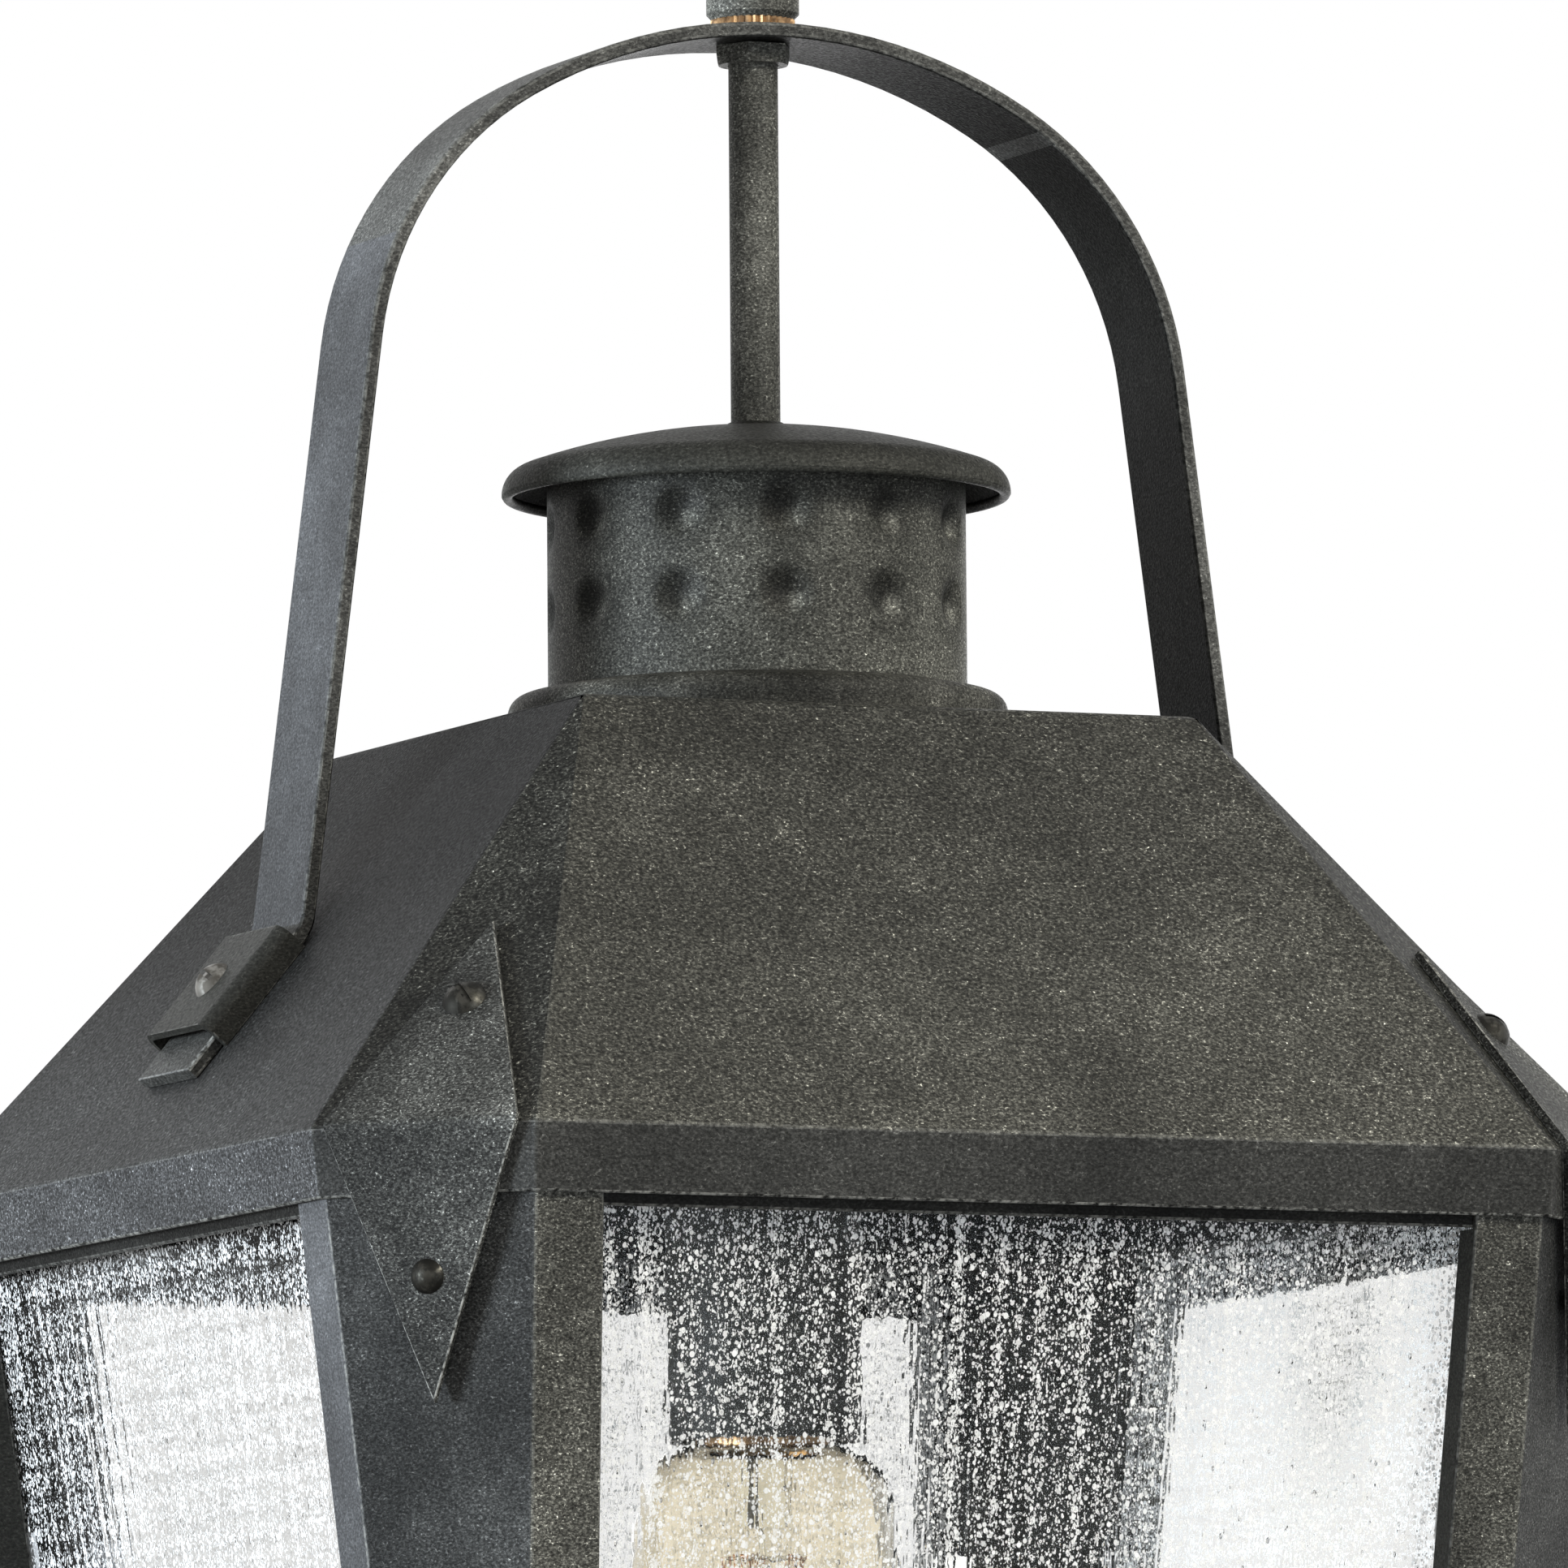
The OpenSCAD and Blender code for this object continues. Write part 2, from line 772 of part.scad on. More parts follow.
module kite(turn) {
    bend = 90 + facet_lean - facet_pitch;
    bend_overlap = 4;
    color("dimgray")
        difference() {
            union() {
                on_facet(turn)
                    linear_extrude(kite_t)
                        mirror([1, 0])
                            kite_point(kite_up);
                on_corner(turn)
                    linear_extrude(kite_t)
                        kite_point(kite_down);
                on_facet(turn)
                    rotate([90, 0, 0])
                        rotate([0, 0, 90 - bend - bend_overlap])
                            rotate_extrude(angle = bend + 2 * bend_overlap)
                                translate([0, -kite_w / 2 + join_step])
                                    square([kite_t - join_step, kite_w - 2 * join_step]);
            }
            on_facet(turn)
                translate([-kite_screw_up, 0, 0])
                    cylinder(d = screw_d + 2 * fit, h = 4 * kite_t, center = true);
            on_corner(turn)
                translate([kite_rivet_down, 0, 0])
                    cylinder(d = screw_d + 2 * fit, h = 4 * kite_t, center = true);
        }
}

module kite_front_left() {
    kite(225);
}

module kite_front_right() {
    kite(315);
}

module kite_back_left() {
    kite(135);
}

module kite_back_right() {
    kite(45);
}

module kite_screws() {
    color("slategray")
        for (turn = [45:90:315])
            on_facet(turn)
                translate([-kite_screw_up, 0, kite_t])
                    slotted_screw(kite_t + sheet + 4, kite_slot_turn);
}

module kite_nuts() {
    color("silver")
        for (turn = [45:90:315])
            on_facet(turn)
                translate([-kite_screw_up, 0, -sheet - join_step])
                    small_nut();
}

// Rivets through the lower points of the kites and the posts, with a small head inside
module kite_rivets() {
    color("slategray")
        for (turn = [45:90:315])
            on_corner(turn)
                translate([kite_rivet_down, 0, kite_t]) {
                    dome_head(rivet_head_d, rivet_head_h);
                    translate([0, 0, -kite_t - frame_in])
                        cylinder(d = screw_d, h = kite_t + frame_in + 0.5);
                    translate([0, 0, -kite_t - frame_in])
                        mirror([0, 0, 1])
                            dome_head(rivet_head_d, rivet_head_h / 2);
                }
}

// Octagonal angle frame inside the rim: an upright band and a ledge over the panes
module cage_top_frame() {
    color("dimgray") {
        side_layer(top_band_bottom, top_frame_z, frame_in, sheet);
        side_layer(top_frame_z - sheet, top_frame_z, frame_in + sheet / 2, glass_in + glass_t);
    }
}

// Corner post: a corner facet, two flanges, and a fold and lip behind each flange
module post(turn) {
    fold_top = top_band_bottom - rest_gap;
    color("dimgray")
        intersection() {
            rotate([0, 0, turn - 45])
                translate([0, 0, cage_bottom - 50])
                    cube([reach, reach, reach]);
            difference() {
                union() {
                    side_layer(ledge_top, post_top, post_in, sheet);
                    intersection() {
                        side_layer(ledge_top, fold_top, post_in + sheet / 2, fold_depth - sheet / 2);
                        window_edges(ledge_top - 1, fold_top + 1, sheet);
                    }
                    intersection() {
                        side_layer(ledge_top, fold_top, fold_in - sheet, sheet);
                        window_edges(ledge_top - 1, fold_top + 1, lip_w);
                    }
                }
                all_windows(ledge_top - 1, post_top + 1, 0);
                on_corner(turn)
                    translate([kite_rivet_down, 0, 0])
                        cylinder(d = screw_d + 2 * fit, h = 8 * post_in, center = true);
            }
        }
}

module post_front_left() {
    post(225);
}

module post_front_right() {
    post(315);
}

module post_back_left() {
    post(135);
}

module post_back_right() {
    post(45);
}

// Band round the feet of the posts, with a ledge that carries posts and panes
module bottom_frame() {
    color("dimgray") {
        side_layer(cage_bottom, cage_bottom + base_band_h, 0, sheet);
        side_layer(cage_bottom, ledge_top, sheet / 2, ledge_w);
    }
}

// Pane behind the lips of two posts
module pane(turn) {
    low = ledge_top + rest_gap;
    high = top_frame_z - sheet - rest_gap;
    color("lightcyan", 0.4)
        rotate([0, 0, turn])
            intersection() {
                side_layer(low, high, glass_in, glass_t);
                window_prism(low - 1, high + 1, glass_lap);
                translate([-reach / 2, -reach, cage_bottom - 50])
                    cube(reach);
            }
}

module glass_front() {
    pane(0);
}

module glass_back() {
    pane(180);
}

module glass_left() {
    pane(270);
}

module glass_right() {
    pane(90);
}

// Angle clips behind the edges of the panes, fixed to the flanges of the posts
module glass_clips() {
    clip_size = 10;
    back = glass_in + glass_t + fit;
    outer = glass_lap + fit;
    spots = [0.2, 0.75];
    span = top_band_bottom - ledge_top;
    color("silver")
        for (turn = [0:90:270], spot = spots)
            rotate([0, 0, turn])
                intersection() {
                    translate([-reach / 2, -reach, ledge_top + spot * span])
                        cube([reach, reach, clip_size]);
                    union() {
                        intersection() {
                            side_layer(ledge_top, top_band_bottom, frame_in, back + 1 - frame_in);
                            difference() {
                                window_prism(ledge_top, top_band_bottom, outer + 1);
                                window_prism(ledge_top - 1, top_band_bottom + 1, outer);
                            }
                        }
                        intersection() {
                            side_layer(ledge_top, top_band_bottom, back, 1);
                            difference() {
                                window_prism(ledge_top, top_band_bottom, outer + 0.5);
                                window_prism(ledge_top - 1, top_band_bottom + 1, 1.5);
                            }
                        }
                    }
                }
}

// Spun cup over the socket, open below
module socket_cup() {
    corner = 4;
    r = cup_d / 2;
    color("dimgray")
        difference() {
            rotate_extrude()
                difference() {
                    cup_profile(r, cup_top, corner);
                    cup_profile(r - sheet, cup_top - sheet, corner - sheet);
                    translate([0, cup_mouth - 2])
                        square([cup_d, 2]);
                }
            translate([0, 0, cup_top - 2 * sheet])
                cylinder(d = stem_d + 2 * fit, h = 4 * sheet);
        }
}

module cup_profile(r, top, corner) {
    translate([0, cup_mouth - 2])
        square([r, top - corner - cup_mouth + 2]);
    translate([0, top - corner - 1])
        square([r - corner, corner + 1]);
    translate([r - corner, top - corner])
        circle(r = corner);
}

// Bar clamped under the cup's top, which the insulator hangs from
module socket_strap() {
    half = porcelain_r * 0.8;
    color("silver")
        translate([0, 0, cup_top - 2 * sheet])
            difference() {
                translate([-half, -stem_d * 0.7, 0])
                    cube([2 * half, stem_d * 1.4, sheet]);
                translate([0, 0, -1])
                    cylinder(d = stem_d + 2 * fit, h = sheet + 2);
                strap_screw_places()
                    cylinder(d = 3 + 2 * fit, h = 20, center = true);
            }
}

module strap_screw_places() {
    for (side = [-1, 1])
        translate([side * porcelain_r * 0.66, 0, 0])
            children();
}

module socket_strap_screws() {
    strap_bottom = cup_top - 2 * sheet;
    color("silver")
        strap_screw_places() {
            translate([0, 0, porcelain_top - strap_screw_in])
                cylinder(d = 3, h = strap_bottom + sheet - porcelain_top + strap_screw_in);
            translate([0, 0, strap_bottom - 2 - rest_gap])
                cylinder(d = 5.5, h = 2);
        }
}

module socket_insulator() {
    color("whitesmoke")
        difference() {
            translate([0, 0, porcelain_bottom])
                cylinder(r = porcelain_r, h = porcelain_top - porcelain_bottom);
            translate([0, 0, porcelain_bottom - 1])
                cylinder(r = socket_shell_r + shell_t + fit, h = socket_depth + 1);
            strap_screw_places()
                translate([0, 0, porcelain_top - strap_screw_in - 1])
                    cylinder(d = 3 + 2 * fit, h = strap_screw_in + 2);
            terminal_places()
                translate([0, 0, porcelain_top - terminal_screw_in - 0.5])
                    cylinder(d = 3 + 2 * fit, h = terminal_screw_in + 2);
        }
}

module terminal_places() {
    for (side = [-1, 1])
        translate([0, side * porcelain_r * 0.72, 0])
            children();
}

module terminal_screws() {
    color("gold")
        terminal_places() {
            translate([0, 0, porcelain_top - terminal_screw_in])
                cylinder(d = 3, h = terminal_screw_in + 0.5);
            translate([0, 0, porcelain_top])
                cylinder(d = 6, h = 2);
        }
}

module socket_screw_shell() {
    top = porcelain_bottom + socket_depth - rest_gap;
    color("gold")
        difference() {
            translate([0, 0, top - socket_depth + 4])
                cylinder(r = socket_shell_r + shell_t, h = socket_depth - 4);
            translate([0, 0, top - socket_depth])
                cylinder(r = socket_shell_r, h = socket_depth - shell_t);
            translate([0, 0, top - 2])
                cylinder(r = 7, h = 4);
        }
}

// Centre contact: a rivet head and a sprung tongue that meets the lamp's tip
module socket_contact() {
    roof_of_socket = porcelain_bottom + socket_depth;
    gap = roof_of_socket - lamp_top - rest_gap;
    color("gold") {
        translate([0, 0, roof_of_socket - 1])
            cylinder(r = 4, h = 1);
        translate([-1.5, -1.5, roof_of_socket - gap])
            cube([3, 3, gap - 0.5]);
        translate([-1.5, -4, roof_of_socket - gap])
            cube([3, 8, 0.6]);
    }
}

// Half outline of the envelope, its walls moved in by a distance: a round tail, a cone, a cheek and a neck
module envelope_profile(inset) {
    r1 = cheek_r - inset;
    r2 = tail_r - inset;
    across = tail_centre - cheek_centre;
    n = polar(1, atan2(across[1], across[0]) + acos((r1 - r2) / norm(across)));
    high = cheek_centre + r1 * n;
    low = tail_centre + r2 * n;
    intersection() {
        translate(tail_centre)
            circle(r = r2);
        translate([0, low[1] - 2 * tail_r])
            square(2 * tail_r);
    }
    polygon([[0, low[1]], [low[0] - join_step, low[1]], [high[0] - join_step, high[1]], [0, high[1]]]);
    intersection() {
        translate(cheek_centre)
            circle(r = r1);
        translate([0, high[1]])
            square(2 * tail_r);
    }
    translate([0, high[1]])
        square([neck_r - inset, cup_mouth + 6 - high[1]]);
}

module lamp_envelope() {
    color("wheat", 0.4)
        rotate_extrude()
            difference() {
                envelope_profile(0);
                envelope_profile(envelope_t);
            }
}

module lamp_base() {
    r = base_d / 2;
    bottom = cup_mouth - 1;
    top = bottom + base_len - tip_h;
    color("gold")
        difference() {
            union() {
                translate([0, 0, bottom])
                    cylinder(r = r, h = top - bottom - 2);
                translate([0, 0, top - 2])
                    cylinder(r1 = r, r2 = r - 2, h = 2);
            }
            translate([0, 0, bottom - 1])
                cylinder(r = r - 0.4, h = top - bottom - 1.4);
            translate([0, 0, top - 3])
                cylinder(r = r - 5, h = 6);
        }
}

module lamp_base_insulator() {
    r = base_d / 2 - 5 - 0.05;
    color("black")
        difference() {
            union() {
                translate([0, 0, lamp_top - tip_h - 0.6])
                    cylinder(r = r, h = 0.6);
                translate([0, 0, lamp_top - tip_h])
                    cylinder(r1 = r, r2 = r - 3, h = tip_h - 1.5);
            }
            translate([0, 0, lamp_top - tip_h - 1])
                cylinder(r = 2, h = tip_h);
        }
}

module lamp_contact() {
    color("silver") {
        translate([0, 0, lamp_top - 1.5])
            cylinder(r = 4, h = 1);
        translate([0, 0, lamp_top - 0.5])
            cylinder(r1 = 4, r2 = 2.5, h = 0.5);
        translate([0, 0, lamp_top - tip_h])
            cylinder(r = 1.9, h = tip_h - 1);
    }
}

// Glass mount: a flare inside the neck, a tube and a rod with hooks for the filament
module lamp_mount() {
    color("lightcyan", 0.6) {
        translate([0, 0, cup_mouth + 3])
            cylinder(r1 = mount_r, r2 = neck_r - envelope_t - rest_gap, h = 3);
        translate([0, 0, mount_bottom])
            cylinder(r = mount_r, h = cup_mouth + 3 - mount_bottom);
        translate([0, 0, cage_low - 3])
            cylinder(r = rod_r, h = mount_bottom - cage_low + 3);
        for (i = [0:filament_strands - 1])
            rotate([0, 0, i * 360 / filament_strands])
                translate([rod_r / 2, 0, i % 2 == 0 ? cage_high : cage_low])
                    rotate([0, 90, 0])
                        cylinder(r = 0.35, h = filament_ring(i) - bead_r - join_step - rod_r / 2);
    }
}

function filament_ring(i) = i % 2 == 0 ? upper_ring : lower_ring;

// Corners of the filament, up and down round the mount
function filament_corner(i) = let (p = polar(filament_ring(i), i * 360 / filament_strands))
    [p[0], p[1], i % 2 == 0 ? cage_high : cage_low];

// Place where a strand meets the bead at a corner, before it or after it
function strand_end(i, side) = let (a = i * 360 / filament_strands)
    filament_corner(i) + side * bead_half * [-sin(a), cos(a), 0];

// Filament: one open wire that zigzags round the mount, with a crimped bead on each hook
module lamp_filament() {
    color("saddlebrown") {
        for (i = [0:filament_strands - 1])
            translate(filament_corner(i))
                rotate([90, 0, i * 360 / filament_strands])
                    cylinder(r = bead_r, h = 2 * (bead_half + bead_r), center = true);
        for (i = [0:filament_strands - 2]) {
            start = strand_end(i, 1);
            way = strand_end(i + 1, -1) - start;
            translate(start)
                rotate([0, acos(way[2] / norm(way)), atan2(way[1], way[0])])
                    cylinder(r = filament_r, h = norm(way));
        }
    }
}

hanging_loop();
serrated_washer();
arch_strap();
arch_lock_nut();
stem_pipe();
stem_lock_nuts();
chimney_cap();
chimney_tube();
chimney_flange();
roof_shell();
strap_clip_left();
strap_clip_right();
clip_screws();
clip_nuts();
kite_front_left();
kite_front_right();
kite_back_left();
kite_back_right();
kite_screws();
kite_nuts();
kite_rivets();
cage_top_frame();
post_front_left();
post_front_right();
post_back_left();
post_back_right();
bottom_frame();
glass_front();
glass_back();
glass_left();
glass_right();
glass_clips();
socket_cup();
socket_strap();
socket_strap_screws();
socket_insulator();
socket_screw_shell();
socket_contact();
terminal_screws();
lamp_envelope();
lamp_base();
lamp_base_insulator();
lamp_contact();
lamp_mount();
lamp_filament();
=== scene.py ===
"""Looks of a hanging porch lantern: finishes, eased edges, seeded glass, studio and camera."""

import json
import logging
import math
from collections.abc import Callable
from dataclasses import dataclass
from enum import Enum

import bmesh
import bpy
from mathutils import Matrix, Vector

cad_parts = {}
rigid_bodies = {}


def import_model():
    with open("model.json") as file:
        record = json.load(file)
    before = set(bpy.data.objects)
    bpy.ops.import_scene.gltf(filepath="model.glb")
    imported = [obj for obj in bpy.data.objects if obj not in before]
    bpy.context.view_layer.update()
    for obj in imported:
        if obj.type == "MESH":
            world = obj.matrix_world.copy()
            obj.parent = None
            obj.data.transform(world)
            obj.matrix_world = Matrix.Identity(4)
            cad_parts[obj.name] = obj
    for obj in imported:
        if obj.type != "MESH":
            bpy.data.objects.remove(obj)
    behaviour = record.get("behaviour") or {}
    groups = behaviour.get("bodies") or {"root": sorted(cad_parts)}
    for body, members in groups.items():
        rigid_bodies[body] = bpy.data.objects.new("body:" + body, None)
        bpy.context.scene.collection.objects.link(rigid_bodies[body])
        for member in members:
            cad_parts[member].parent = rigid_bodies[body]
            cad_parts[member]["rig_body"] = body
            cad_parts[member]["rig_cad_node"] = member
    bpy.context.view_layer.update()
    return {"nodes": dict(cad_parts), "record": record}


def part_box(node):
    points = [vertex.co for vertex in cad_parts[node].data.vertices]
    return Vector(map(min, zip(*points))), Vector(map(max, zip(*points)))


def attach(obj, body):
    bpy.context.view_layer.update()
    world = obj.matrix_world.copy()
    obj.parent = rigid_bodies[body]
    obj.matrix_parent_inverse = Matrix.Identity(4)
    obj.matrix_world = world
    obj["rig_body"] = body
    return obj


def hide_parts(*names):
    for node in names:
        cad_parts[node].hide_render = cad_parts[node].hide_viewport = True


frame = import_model()

logging.basicConfig(level=logging.INFO, format="%(message)s")
log = logging.getLogger("lantern")

Colour = tuple[float, float, float]
Triple = tuple[float, float, float]
CORNERS = ("front_left", "front_right", "back_left", "back_right")
WARM_LIGHT: Colour = (1.0, 0.96, 0.86)
COOL_LIGHT: Colour = (0.82, 0.91, 1.0)
WHITE: Colour = (1.0, 1.0, 1.0)
MM = 0.001
FINE = 0.5 * MM  # width of a fleck where the coat is fine
ROOF_RISE = (-0.27, -0.185)  # heights of the foot and the top of the roof's slopes, in metres
FINE_SWING = 0.105  # usual swing of the noise that makes the flecks
BROAD_SWING = 0.12  # usual swing of the noise that makes the patches
CURL = (0.03, 0.0)  # distances from the noise's middle at which a curl begins and is full
BREAK = (0.54, 0.6)  # values of a noise at which a curl begins to show and shows in full
SPARK = (0.64, 0.76)  # the same for a spark between the curls
SCUFF = (0.34, 0.7)  # the same for a worn spot on an edge
SPECK = (0.66, 0.72)  # the same for a speckle in glaze
SEED = (0.615, 0.69)  # the same for a fine seed in glass
BEAD = (-0.03, 0.05)  # distances inside a round seed's edge at which it begins and is full
WELD = 0.05 * MM  # corners nearer than this are one
COPLANAR = math.radians(0.6)  # faces that meet flatter than this are one
CREASE = math.radians(35)  # faces that meet flatter than this are shaded as one
TUBE_CREASE = math.radians(50)  # the same on turned pieces


class Shade:
    """A node's socket that takes part in Python expressions, each of which adds Math nodes."""

    def __init__(self, tree: bpy.types.NodeTree, socket: bpy.types.NodeSocket) -> None:
        """Wraps a socket.

        Args:
            tree: the node tree that the socket belongs to.
            socket: an output socket.
        """
        self.tree = tree
        self.socket = socket

    def _join(self, operation: str, *values: "Shade | float") -> "Shade":
        """Adds a Math node.

        Args:
            operation: the node's operation.
            values: what its sockets take, in their order.

        Returns:
            The node's result.
        """
        node = self.tree.nodes.new("ShaderNodeMath")
        node.operation = operation
        for place, value in enumerate(values):
            if isinstance(value, Shade):
                self.tree.links.new(value.socket, node.inputs[place])
            else:
                node.inputs[place].default_value = value
        return Shade(self.tree, node.outputs[0])

    def __add__(self, other: "Shade | float") -> "Shade":
        """Sum."""
        return self._join("ADD", self, other)

    def __radd__(self, other: float) -> "Shade":
        """Sum, the number first."""
        return self._join("ADD", other, self)

    def __sub__(self, other: "Shade | float") -> "Shade":
        """Difference."""
        return self._join("SUBTRACT", self, other)

    def __rsub__(self, other: float) -> "Shade":
        """Difference, the number first."""
        return self._join("SUBTRACT", other, self)

    def __mul__(self, other: "Shade | float") -> "Shade":
        """Product."""
        return self._join("MULTIPLY", self, other)

    def __rmul__(self, other: float) -> "Shade":
        """Product, the number first."""
        return self._join("MULTIPLY", other, self)

    def __abs__(self) -> "Shade":
        """Distance from zero."""
        return self._join("ABSOLUTE", self)

    def __pow__(self, power: float) -> "Shade":
        """Power of a value that isn't negative."""
        return self._join("POWER", self, power)

    def exp(self) -> "Shade":
        """Power of e."""
        return self._join("EXPONENT", self)

    def larger(self, other: "Shade | float") -> "Shade":
        """The larger of two values."""
        return self._join("MAXIMUM", self, other)

    def beside(self, name: str) -> "Shade":
        """Another output of the same node."""
        return Shade(self.tree, self.socket.node.outputs[name])

    def rise(self, low: float, high: float) -> "Shade":
        """Runs smoothly from 0 at one value to 1 at another.

        Args:
            low: value that gives 0.
            high: value that gives 1; it may lie under low.

        Returns:
            The share between them.
        """
        node = self.tree.nodes.new("ShaderNodeMapRange")
        node.interpolation_type = "SMOOTHSTEP"
        self.tree.links.new(self.socket, node.inputs["Value"])
        node.inputs["From Min"].default_value = low
        node.inputs["From Max"].default_value = high
        return Shade(self.tree, node.outputs["Result"])


class Board:
    """Node tree of one material, and the one way to add a node to it."""

    def __init__(self, name: str) -> None:
        """Makes an empty material.

        Args:
            name: name of the material.
        """
        self.material = bpy.data.materials.new(name)
        self.material.use_nodes = True
        self.tree = self.material.node_tree
        self.tree.nodes.clear()

    def add(
        self,
        kind: str,
        settings: dict[str, object] | None = None,
        sockets: dict[str | int, object] | None = None,
        out: str | int = 0,
    ) -> Shade:
        """Adds a node.

        Args:
            kind: the node's type.
            settings: its properties, set first.
            sockets: values or links for its inputs, by name or place.
            out: the output to return.

        Returns:
            That output.
        """
        node = self.tree.nodes.new(kind)
        for name, value in (settings or {}).items():
            setattr(node, name, value)
        for place, value in (sockets or {}).items():
            if isinstance(value, Shade):
                self.tree.links.new(value.socket, node.inputs[place])
            else:
                node.inputs[place].default_value = value
        return Shade(self.tree, node.outputs[out])

    def place(self, stretch: Triple = (1.0, 1.0, 1.0)) -> Shade:
        """Point on the piece in metres, its axes scaled by stretch."""
        point = self.add("ShaderNodeTexCoord", out="Object")
        return self.add("ShaderNodeVectorMath", {"operation": "MULTIPLY"}, {0: point, 1: stretch})

    def noise(self, place: Shade, size: float, detail: float = 2.0, rough: float = 0.5) -> Shade:
        """Soft noise.

        Args:
            place: where it is looked up.
            size: width of its larger forms, in metres.
            detail: octaves under them.
            rough: strength of the octaves.

        Returns:
            A value about 0.5.
        """
        return self.add(
            "ShaderNodeTexNoise",
            sockets={"Vector": place, "Scale": 1 / size, "Detail": detail, "Roughness": rough},
        )

    def mix(self, share: Shade | float, first: Colour | Shade, second: Colour | Shade) -> Shade:
        """Blends two colours.

        Args:
            share: 0 for the first colour and 1 for the second.
            first: colour at 0.
            second: colour at 1.

        Returns:
            The blended colour.
        """
        ends = {
            place: colour if isinstance(colour, Shade) else (*colour, 1.0)
            for place, colour in ((6, first), (7, second))
        }
        return self.add("ShaderNodeMix", {"data_type": "RGBA"}, {0: share, **ends}, out=2)

    def bump(self, height: Shade, distance: float, strength: float) -> Shade:
        """Normal over a height field.

        Args:
            height: the field, from about 0 to 1.
            distance: real height of 1, in metres.
            strength: share of the effect.

        Returns:
            The normal.
        """
        return self.add(
            "ShaderNodeBump",
            sockets={"Strength": strength, "Distance": distance, "Height": height},
        )

    def surface(self, sockets: dict[str, object]) -> bpy.types.Material:
        """Closes the material with a principled surface that has these values and links."""
        return self.close(self.add("ShaderNodeBsdfPrincipled", sockets=sockets))

    def close(self, surface: Shade) -> bpy.types.Material:
        """Links a shader to the material's output.

        Args:
            surface: the shader.

        Returns:
            The material.
        """
        out = self.tree.nodes.new("ShaderNodeOutputMaterial")
        self.tree.links.new(surface.socket, out.inputs["Surface"])
        return self.material


@dataclass(frozen=True)
class MottledCoat:
    """Dark powder coat with an uneven grain of light flecks, which gather in soft patches.

    Attributes:
        name: name of the material.
        tone: colour of the coat at its middle.
        grain: width of a fleck in metres.
        spread: how far the grain swings, as a power of e.
        cloud: how far the patches swing, as a power of e.
        fade: heights in metres between which the coat turns from dark to light.
        depth: how far it turns, as a power of e.
        shine: specular level.
        wear: strength of the pale line on eased edges.
        relief: quarter of the height of the flecks in metres.
        bare: colour that shows where an edge is worn.
        stroke: how the flecks are drawn out along the three axes; over 1 is shorter.
        widths: width of the large patches, the small patches and the worn spots, in metres.
    """

    name: str
    tone: Colour
    grain: float = 0.6 * MM
    spread: float = 0.55
    cloud: float = 0.35
    painted_light_heights: tuple[float, float] = (0.0, 0.1)
    depth: float = 0.0
    shine: float = 0.1
    wear: float = 0.3
    relief: float = 0.05 * MM
    bare: Colour = (0.4, 0.4, 0.37)
    stroke: Triple = (0.8, 0.8, 1.15)
    widths: Triple = (46 * MM, 10 * MM, 1.3 * MM)

    def make(self) -> bpy.types.Material:
        """Builds the material.

        Returns:
            The material.
        """
        board = Board(self.name)
        place = board.place()
        strokes = board.place(self.stroke)
        large, small, worn = self.widths
        cloud = board.noise(place, large, 3.0, 0.55) - 0.5
        patch = board.noise(place, small, 3.0, 0.6) - 0.5
        grain = board.noise(strokes, self.grain, 2.0, 0.6) - 0.5
        curls = self._curls(board, place, strokes, 0.12 * patch + 0.1 * cloud)
        height = board.add("ShaderNodeSeparateXYZ", sockets={0: place}, out="Z")
        # painted light: a mesh attribute with painted shade and painted highlights, which only the
        # dimpled tube fills
        wear_and_painted_light = board.add("ShaderNodeAttribute", {"attribute_name": "wear_and_painted_light"}, out="Fac")
        swing = grain * (0.75 * self.spread / FINE_SWING) + curls * (1.8 * self.spread)
        swing = swing + (cloud + 0.4 * patch) * (self.cloud / BROAD_SWING) + wear_and_painted_light
        # painted light: the colour is made lighter or darker by height, standing in for light and
        # shade
        swing = swing + (height.rise(*self.painted_light_heights) - 0.5) * self.depth
        tone = board.add(
            "ShaderNodeVectorMath", {"operation": "SCALE"}, {0: self.tone, "Scale": swing.exp()}
        )
        edge = board.add("ShaderNodeAttribute", {"attribute_name": "edge_wear"}, out="Fac")
        rubbed = board.noise(place, worn, 3.0, 0.6).rise(*SCUFF)
        colour = board.mix(edge * rubbed * self.wear, tone, self.bare)
        return board.surface({
            "Base Color": colour,
            "Roughness": 0.5 - 0.5 * grain + 0.2 * cloud,
            "Specular IOR Level": self.shine,
            "Normal": board.bump(grain + 0.12 * curls, 4 * self.relief, 0.8),
        })

    def _curls(self, board: Board, place: Shade, strokes: Shade, crowd: Shade) -> Shade:
        """Light curls, broken into short lengths, and the sparks between them.

        Args:
            board: the material's board.
            place: where the breaks are looked up.
            strokes: where the curls and the sparks are looked up.
            crowd: how much thicker the sparks lie, from place to place.

        Returns:
            Their cover.
        """
        spark = board.noise(strokes, 0.9 * self.grain, 1.0) + crowd
        bend = board.noise(strokes, 2.6 * self.grain, 0.0)
        broken = board.noise(place, 2 * self.grain, 1.0).rise(*BREAK)
        return abs(bend - 0.5).rise(*CURL) * broken + spark.rise(*SPARK)


